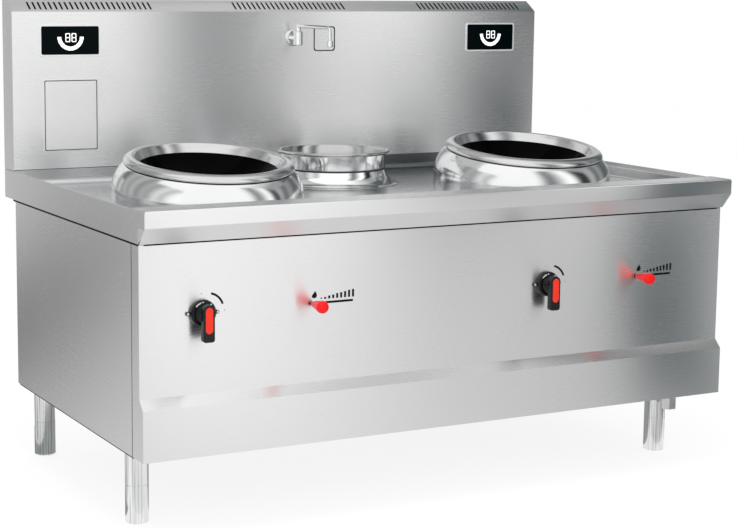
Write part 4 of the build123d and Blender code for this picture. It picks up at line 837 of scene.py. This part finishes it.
def wound_copper(name, foot, tilt):
    """Enamelled strand laid in rings: a fine diagonal twist from the angle round the axis and
    the radius. Its colour is darker between the strands: painted shade."""
    made, shade = started(name)
    where = laid(shade, centre=foot, tilt=(tilt, 0, 0))
    x = shade.node("ShaderNodeSeparateXYZ", inputs={"Vector": where}, out="X")
    y = shade.node("ShaderNodeSeparateXYZ", inputs={"Vector": where}, out="Y")
    turn = shade.math("ARCTAN2", y, x)
    twist = shade.math("SINE", turn * 260.0 + off_axis(shade, where) * 1400.0) * 0.5 + 0.5
    # Painted shade: darker between the strands.
    base = toned(shade, twist, (0.30, 0.12, 0.05, 1), (0.72, 0.36, 0.18, 1))
    principled(shade, base, twist * 0.1 + 0.28, 0.9, bumped(shade, twist, 0.4, 0.0006))
    return made


COLLAR_PROFILE = np.concatenate([
    [(COLLAR_R, 0.0), (COLLAR_R, COLLAR_BELLY_H)],
    arc((COLLAR_ARC_C, COLLAR_BELLY_H), (COLLAR_ARC_R, COLLAR_ARC_R), 2, 46, 22),
    arc((0.2287, 0.0935), (0.0033, 0.0026), 40, 90, 5),
    [(0.2235, COLLAR_TOP_H), (COLLAR_SEAT_R, COLLAR_TOP_H)]])
RING_PROFILE = np.concatenate([
    [(0.2290, 0.0972), (0.2335, 0.0972)],
    arc((0.2110, 0.0990), (0.0240, 0.0170), 0, 90, 20),
    arc((0.2110, 0.1120), (0.0075, 0.0040), 90, 180, 8)[1:],
    [(0.1985, 0.1025), (0.1935, 0.0925), (0.1924, 0.0905), (0.1955, 0.0905), (0.2070, 0.0963),
     (0.2290, 0.0972)]])
# Painted shade: a thin black band in the gap under the ring's outer edge.
RING_SHADE_PROFILE = np.array([(0.2300, 0.0952), (0.2326, 0.0952), (0.2335, 0.0962), (0.2328, 0.0971),
                         (0.2300, 0.0971)])
UNDER_R = BOWL_R + BOWL_WALL
reach = np.linspace(0, 1, 26) * np.arcsin(BOWL_RIM_R / BOWL_R)
under = np.linspace(1, 0, 20) * np.arcsin((BOWL_RIM_R + 0.0040) / UNDER_R)
BOWL_PROFILE = np.concatenate([
    np.stack([BOWL_R * np.sin(reach), BOWL_CENTRE_H - BOWL_R * np.cos(reach)], -1)[:-1],
    [(BOWL_RIM_R - 0.0004, 0.0892), (BOWL_RIM_R, 0.0899), (BOWL_RIM_R + 0.0030, 0.0900),
     (BOWL_RIM_R + 0.0040, 0.0893)],
    np.stack([UNDER_R * np.sin(under), BOWL_CENTRE_H - UNDER_R * np.cos(under)], -1)[1:]])
BOWL_GLASS = glass("bowl_glass", (0.0001, 0.0002, 0.0003), 0.07, 0.03)
CARRIER_PLASTIC = dark_moulding("carrier_plastic", (0.030, 0.028, 0.026), (0.055, 0.050, 0.046), 0.55)
for side, (x, y) in BURNERS.items():
    foot = (x, y, BASIN_Z)
    polish = spun_steel(f"spun_steel_{side}", foot, TILT)
    satin_ring = spun_steel(f"satin_ring_{side}", foot, TILT, 0.69, 0.20)
    collar = spun(f"wok_collar_skin_{side}", COLLAR_PROFILE, foot, polish, TILT, cut_at_foot=True, crease=35)
    fit(collar, "range", "polished_steel", f"wok_collar_{side}")
    ring = spun(f"collar_ring_skin_{side}", RING_PROFILE, foot, satin_ring, TILT, crease=50)
    fit(ring, "range", "polished_steel", f"collar_ring_{side}")
    fit(spun(f"ring_gap_shade_{side}", RING_SHADE_PROFILE, foot, SHADE_BLACK, TILT), "range", "dark_plastic")
    bowl = spun(f"wok_bowl_skin_{side}", BOWL_PROFILE, foot, BOWL_GLASS, TILT)
    fit(bowl, "range", "black_glass", f"wok_bowl_{side}")
    dress(wound_copper(f"litz_copper_{side}", foot, TILT), f"induction_coil_{side}")
    dress(CARRIER_PLASTIC, f"coil_carrier_{side}")

# ------------------------------------------------------------------ tail pot
# A drawn stainless pot with a rolled lip and an upright band; its inside and lip are painted
# darker, as painted shade. It stands in a seat ring on a spun bell collar welded to the basin,
# and lifts straight out.
TAIL_FOOT = (TAIL[0], TAIL[1], 0.0)
TAIL_COLLAR_PROFILE = np.array([
    (0.1965, 0.7936), (0.1958, 0.7942), (0.1905, 0.7955), (0.1850, 0.7974), (0.1795, 0.8002),
    (0.1740, 0.8040), (0.1700, 0.8074), (0.1668, 0.8108), (0.1640, 0.8147), (0.1615, 0.8190),
    (0.1595, 0.8234), (0.1577, 0.8280), (0.1558, 0.8322), (0.1542, 0.8362), (0.1530, 0.8396),
    (0.1506, 0.8396), (0.1506, 0.8300)])
POT_PROFILE = np.concatenate([
    bent([(0.0, 0.6500), (0.1430, 0.6500), (0.1430, 0.8400), (0.1555, 0.8400), (0.1555, 0.8815)],
         [0.030, 0.002, 0.004], 8),
    arc((0.1628, 0.8888), (0.0044, 0.0044), -115, 90, 14),
    arc((0.1590, 0.8888), (0.0044, 0.0044), 90, 165, 6),
    bent([(0.1530, 0.8850), (0.1530, 0.8425), (0.1405, 0.8425), (0.1405, 0.6525), (0.0, 0.6525)],
         [0.002, 0.003, 0.028], 8)])
SEAT_PROFILE = np.array([(0.1528, 0.8345), (0.1541, 0.8352), (0.1544, 0.8375), (0.1541, 0.8396),
                         (0.1515, 0.8398)])
# Painted shade, a darker copy of the pot's steel: on the body and the band, each within a
# radius and above a height, and on the lip.
POT_SHADE_ZONES, LIP_Z = ((0.1415, 0.6512), (0.1545, 0.8412)), 0.8840
TAIL_POLISH = spun_steel("spun_steel_tail", TAIL_FOOT, tone=0.93, dull=0.10)
POT_SHADE = spun_steel("spun_steel_pot_inside", TAIL_FOOT, tone=0.56, dull=0.16)
tail_collar = spun("tail_collar_skin", TAIL_COLLAR_PROFILE, TAIL_FOOT, TAIL_POLISH, crease=50)
fit(tail_collar, "range", "polished_steel", "tail_collar")
pot = spun("tail_pot_skin", POT_PROFILE, TAIL_FOOT, TAIL_POLISH, crease=50)
x, y, z = face_centres(pot)
reach = np.hypot(x - TAIL[0], y - TAIL[1])
inside = z > LIP_Z
for radius, low in POT_SHADE_ZONES:
    inside |= (reach < radius) & (z > low)
add_looks(pot, [POT_SHADE], inside)
fit(pot, "pot", "polished_steel", "tail_pot")
fit(spun("pot_seat_ring", SEAT_PROFILE, TAIL_FOOT, CARRIER_PLASTIC), "range", "dark_plastic")

# ------------------------------------------------------------------ isolator switches
# Rotary isolators: a black ring screwed to the panel by two ears, a pistol handle with a
# red inlay, and the switch body behind the sheet. White and black marks show its places.
ISOLATORS = {"left": -0.731, "right": 0.299}
PANEL_Y, CONTROL_Z, RING_DEPTH = -0.493, 0.572, 0.014
PRINT_Y, RING_PRINT_Y = PANEL_Y - PRINT, PANEL_Y - RING_DEPTH - PRINT
# The marks: places from the handle's axis, radii, widths and angles in degrees.
ARC_AT, ARC_R, ARC_W, ARC_TURN = (0.0147, 0.0042), 0.0437, 0.0056, (19, 77)
RING_R, RING_W, RING_TURN = 0.0286, 0.0040, (107, 140)
SPOTS, SPOT_R = ((-0.0037, 0.0286), (0.0185, 0.0220)), 0.0022
DOTS, DOT_R = ((-0.002, 0.048), (0.061, 0.002)), 0.0012
NEAR_BLACK = (0.003, 0.004, 0.005)
GLOSS_BLACK = dark_moulding("gloss_black_moulding", NEAR_BLACK, (0.006, 0.008, 0.009), 0.22, 900.0, 0.30)
RING_BLACK = dark_moulding("ring_moulding", NEAR_BLACK, (0.007, 0.009, 0.010), 0.30, 900.0, 0.30)
BODY_BLACK = dark_moulding("switch_body_moulding", (0.030, 0.030, 0.030), (0.050, 0.050, 0.050), 0.50)
RED_INLAY = dark_moulding("red_inlay", (0.93, 0.040, 0.018), (0.97, 0.052, 0.026), 0.40, 900.0, 0.15)
WHITE_INK = print_ink("white_ink", (0.80, 0.80, 0.80))


def arc_band(centre, radius, width, start, end, steps=16):
    """A printed arc as one polygon: out along the outer radius, back along the inner one."""
    angle = np.radians(np.linspace(start, end, steps))
    angle = np.concatenate([angle, angle[::-1]])
    reach = np.repeat([radius + width / 2, radius - width / 2], steps)
    return np.stack([centre[0] + reach * np.cos(angle), centre[1] + reach * np.sin(angle)], -1)[None]


def dots(centres, radius, corners=12):
    """Printed dots: a regular polygon at each centre."""
    angle = np.arange(corners) * 2 * pi / corners
    outline = np.stack([np.cos(angle), np.sin(angle)], -1) * radius
    return np.asarray(centres)[:, None, :] + outline


SCREW_STEEL = bare_metal("screw_steel", (0.62, 0.62, 0.62), (0.78, 0.78, 0.78), 0.25, 0.02)
dress(SCREW_STEEL, "isolator_screws")
for side, x in ISOLATORS.items():
    dress(RING_BLACK, f"isolator_base_{side}")
    dress(BODY_BLACK, f"isolator_body_{side}")
    dress(GLOSS_BLACK, f"isolator_handle_{side}")
    dress(RED_INLAY, f"handle_inlay_{side}")
    axis = np.array([x, CONTROL_Z])
    printed(f"isolator_arc_{side}", arc_band(axis + ARC_AT, ARC_R, ARC_W, *ARC_TURN), PRINT_Y, BLACK_INK)
    printed(f"isolator_bar_{side}", arc_band(axis, RING_R, RING_W, *RING_TURN), RING_PRINT_Y, WHITE_INK)
    printed(f"isolator_spots_{side}", dots(axis + SPOTS, SPOT_R), RING_PRINT_Y, WHITE_INK)
    printed(f"isolator_dots_{side}", dots(axis + DOTS, DOT_R), PRINT_Y, GREY_INK)

# ------------------------------------------------------------------ power levers
# A red turned knob on a flat steel blade that slides in a slot of the panel, on a guide
# behind it. Printed above the slot: a small flame, a dot and eight rising bars.
LEVERS = {"left": -0.425, "right": 0.605}
FIRST_BAR_X, BAR_PITCH, BAR_W, BAR_FOOT_Z = 0.0355, 0.0116, 0.0060, 0.581
SLOT_START, SLOT_END, SLOT_HALF_H = -0.008, 0.1195, 0.0029
BAR_HEIGHTS = np.array([0.0050, 0.0080, 0.0095, 0.0125, 0.0140, 0.0160, 0.0185, 0.0200])
SCALE_DOT, SCALE_DOT_R, FLAME, FLAME_H = (0.027, 0.5835), 0.0021, (0.008, 0.5945), 0.019
RED_KNOB = dark_moulding("red_knob", (0.97, 0.005, 0.005), (0.99, 0.012, 0.012), 0.13, 900.0, 0.26)
ZINC = bare_metal("zinc_steel", (0.55, 0.56, 0.57), (0.70, 0.71, 0.72), 0.35, 0.008)


def bars(lever_x):
    """The scale's bars: rectangles of one width and growing height on one foot line."""
    low = lever_x + FIRST_BAR_X + BAR_PITCH * np.arange(len(BAR_HEIGHTS))
    x = low[:, None] + np.array([0, BAR_W, BAR_W, 0])
    z = BAR_FOOT_Z + BAR_HEIGHTS[:, None] * np.array([0, 0, 1, 1])
    return np.stack([x, z], -1)


def flame(centre, size):
    """A flame: x = sin t sin(t/2)^1.6 leaning with height, z = cos t, scaled to its size."""
    t = np.linspace(0, 2 * pi, 24, endpoint=False)
    height = np.cos(t)
    x = np.sin(t) * np.abs(np.sin(t / 2)) ** 1.6 + 0.12 * np.sin(2.2 * height)
    return (np.stack([x * 0.55, height * 0.5], -1) * size + centre)[None]


for side, x in LEVERS.items():
    dress(RED_KNOB, f"power_knob_{side}")
    dress(ZINC, f"lever_blade_{side}", f"lever_guide_{side}")
    printed(f"lever_bars_{side}", bars(x), PRINT_Y, BLACK_INK)
    printed(f"lever_dot_{side}", dots([(x + SCALE_DOT[0], SCALE_DOT[1])], SCALE_DOT_R), PRINT_Y, BLACK_INK)
    printed(f"lever_flame_{side}", flame((x + FLAME[0], FLAME[1]), FLAME_H), PRINT_Y, BLACK_INK)
    # Painted shade: a black patch on the panel over the slot stands for the dark inside it.
    slot = oblong(x + SLOT_START, x + SLOT_END, CONTROL_Z - SLOT_HALF_H, CONTROL_Z + SLOT_HALF_H)
    printed(f"slot_shade_{side}", slot, PRINT_Y, SHADE_BLACK)

# ------------------------------------------------------------------ drain and cable gland
# The basin's flanged outlet runs through the cabinet to a hex coupling under it. The
# supply cable enters the back through a black gland.
dress(SCREW_STEEL, "drain_pipe")
dress(dark_moulding("gland_moulding", (0.020, 0.020, 0.021), (0.035, 0.035, 0.036), 0.45), "cable_gland")

# ------------------------------------------------------------------ generators and fans
# Under each burner: an induction generator in a galvanised case with a ribbed heat sink,
# and a fan behind it that blows out through the back grille.
CASE = bare_metal("galvanised_case", (0.50, 0.52, 0.53), (0.66, 0.68, 0.69), 0.40, 0.018)
FAN_PLASTIC = dark_moulding("fan_moulding", (0.016, 0.016, 0.017), (0.030, 0.030, 0.032), 0.42)
for side in ("left", "right"):
    dress(CASE, f"generator_{side}")
    dress(FAN_PLASTIC, f"fan_frame_{side}", f"fan_rotor_{side}")
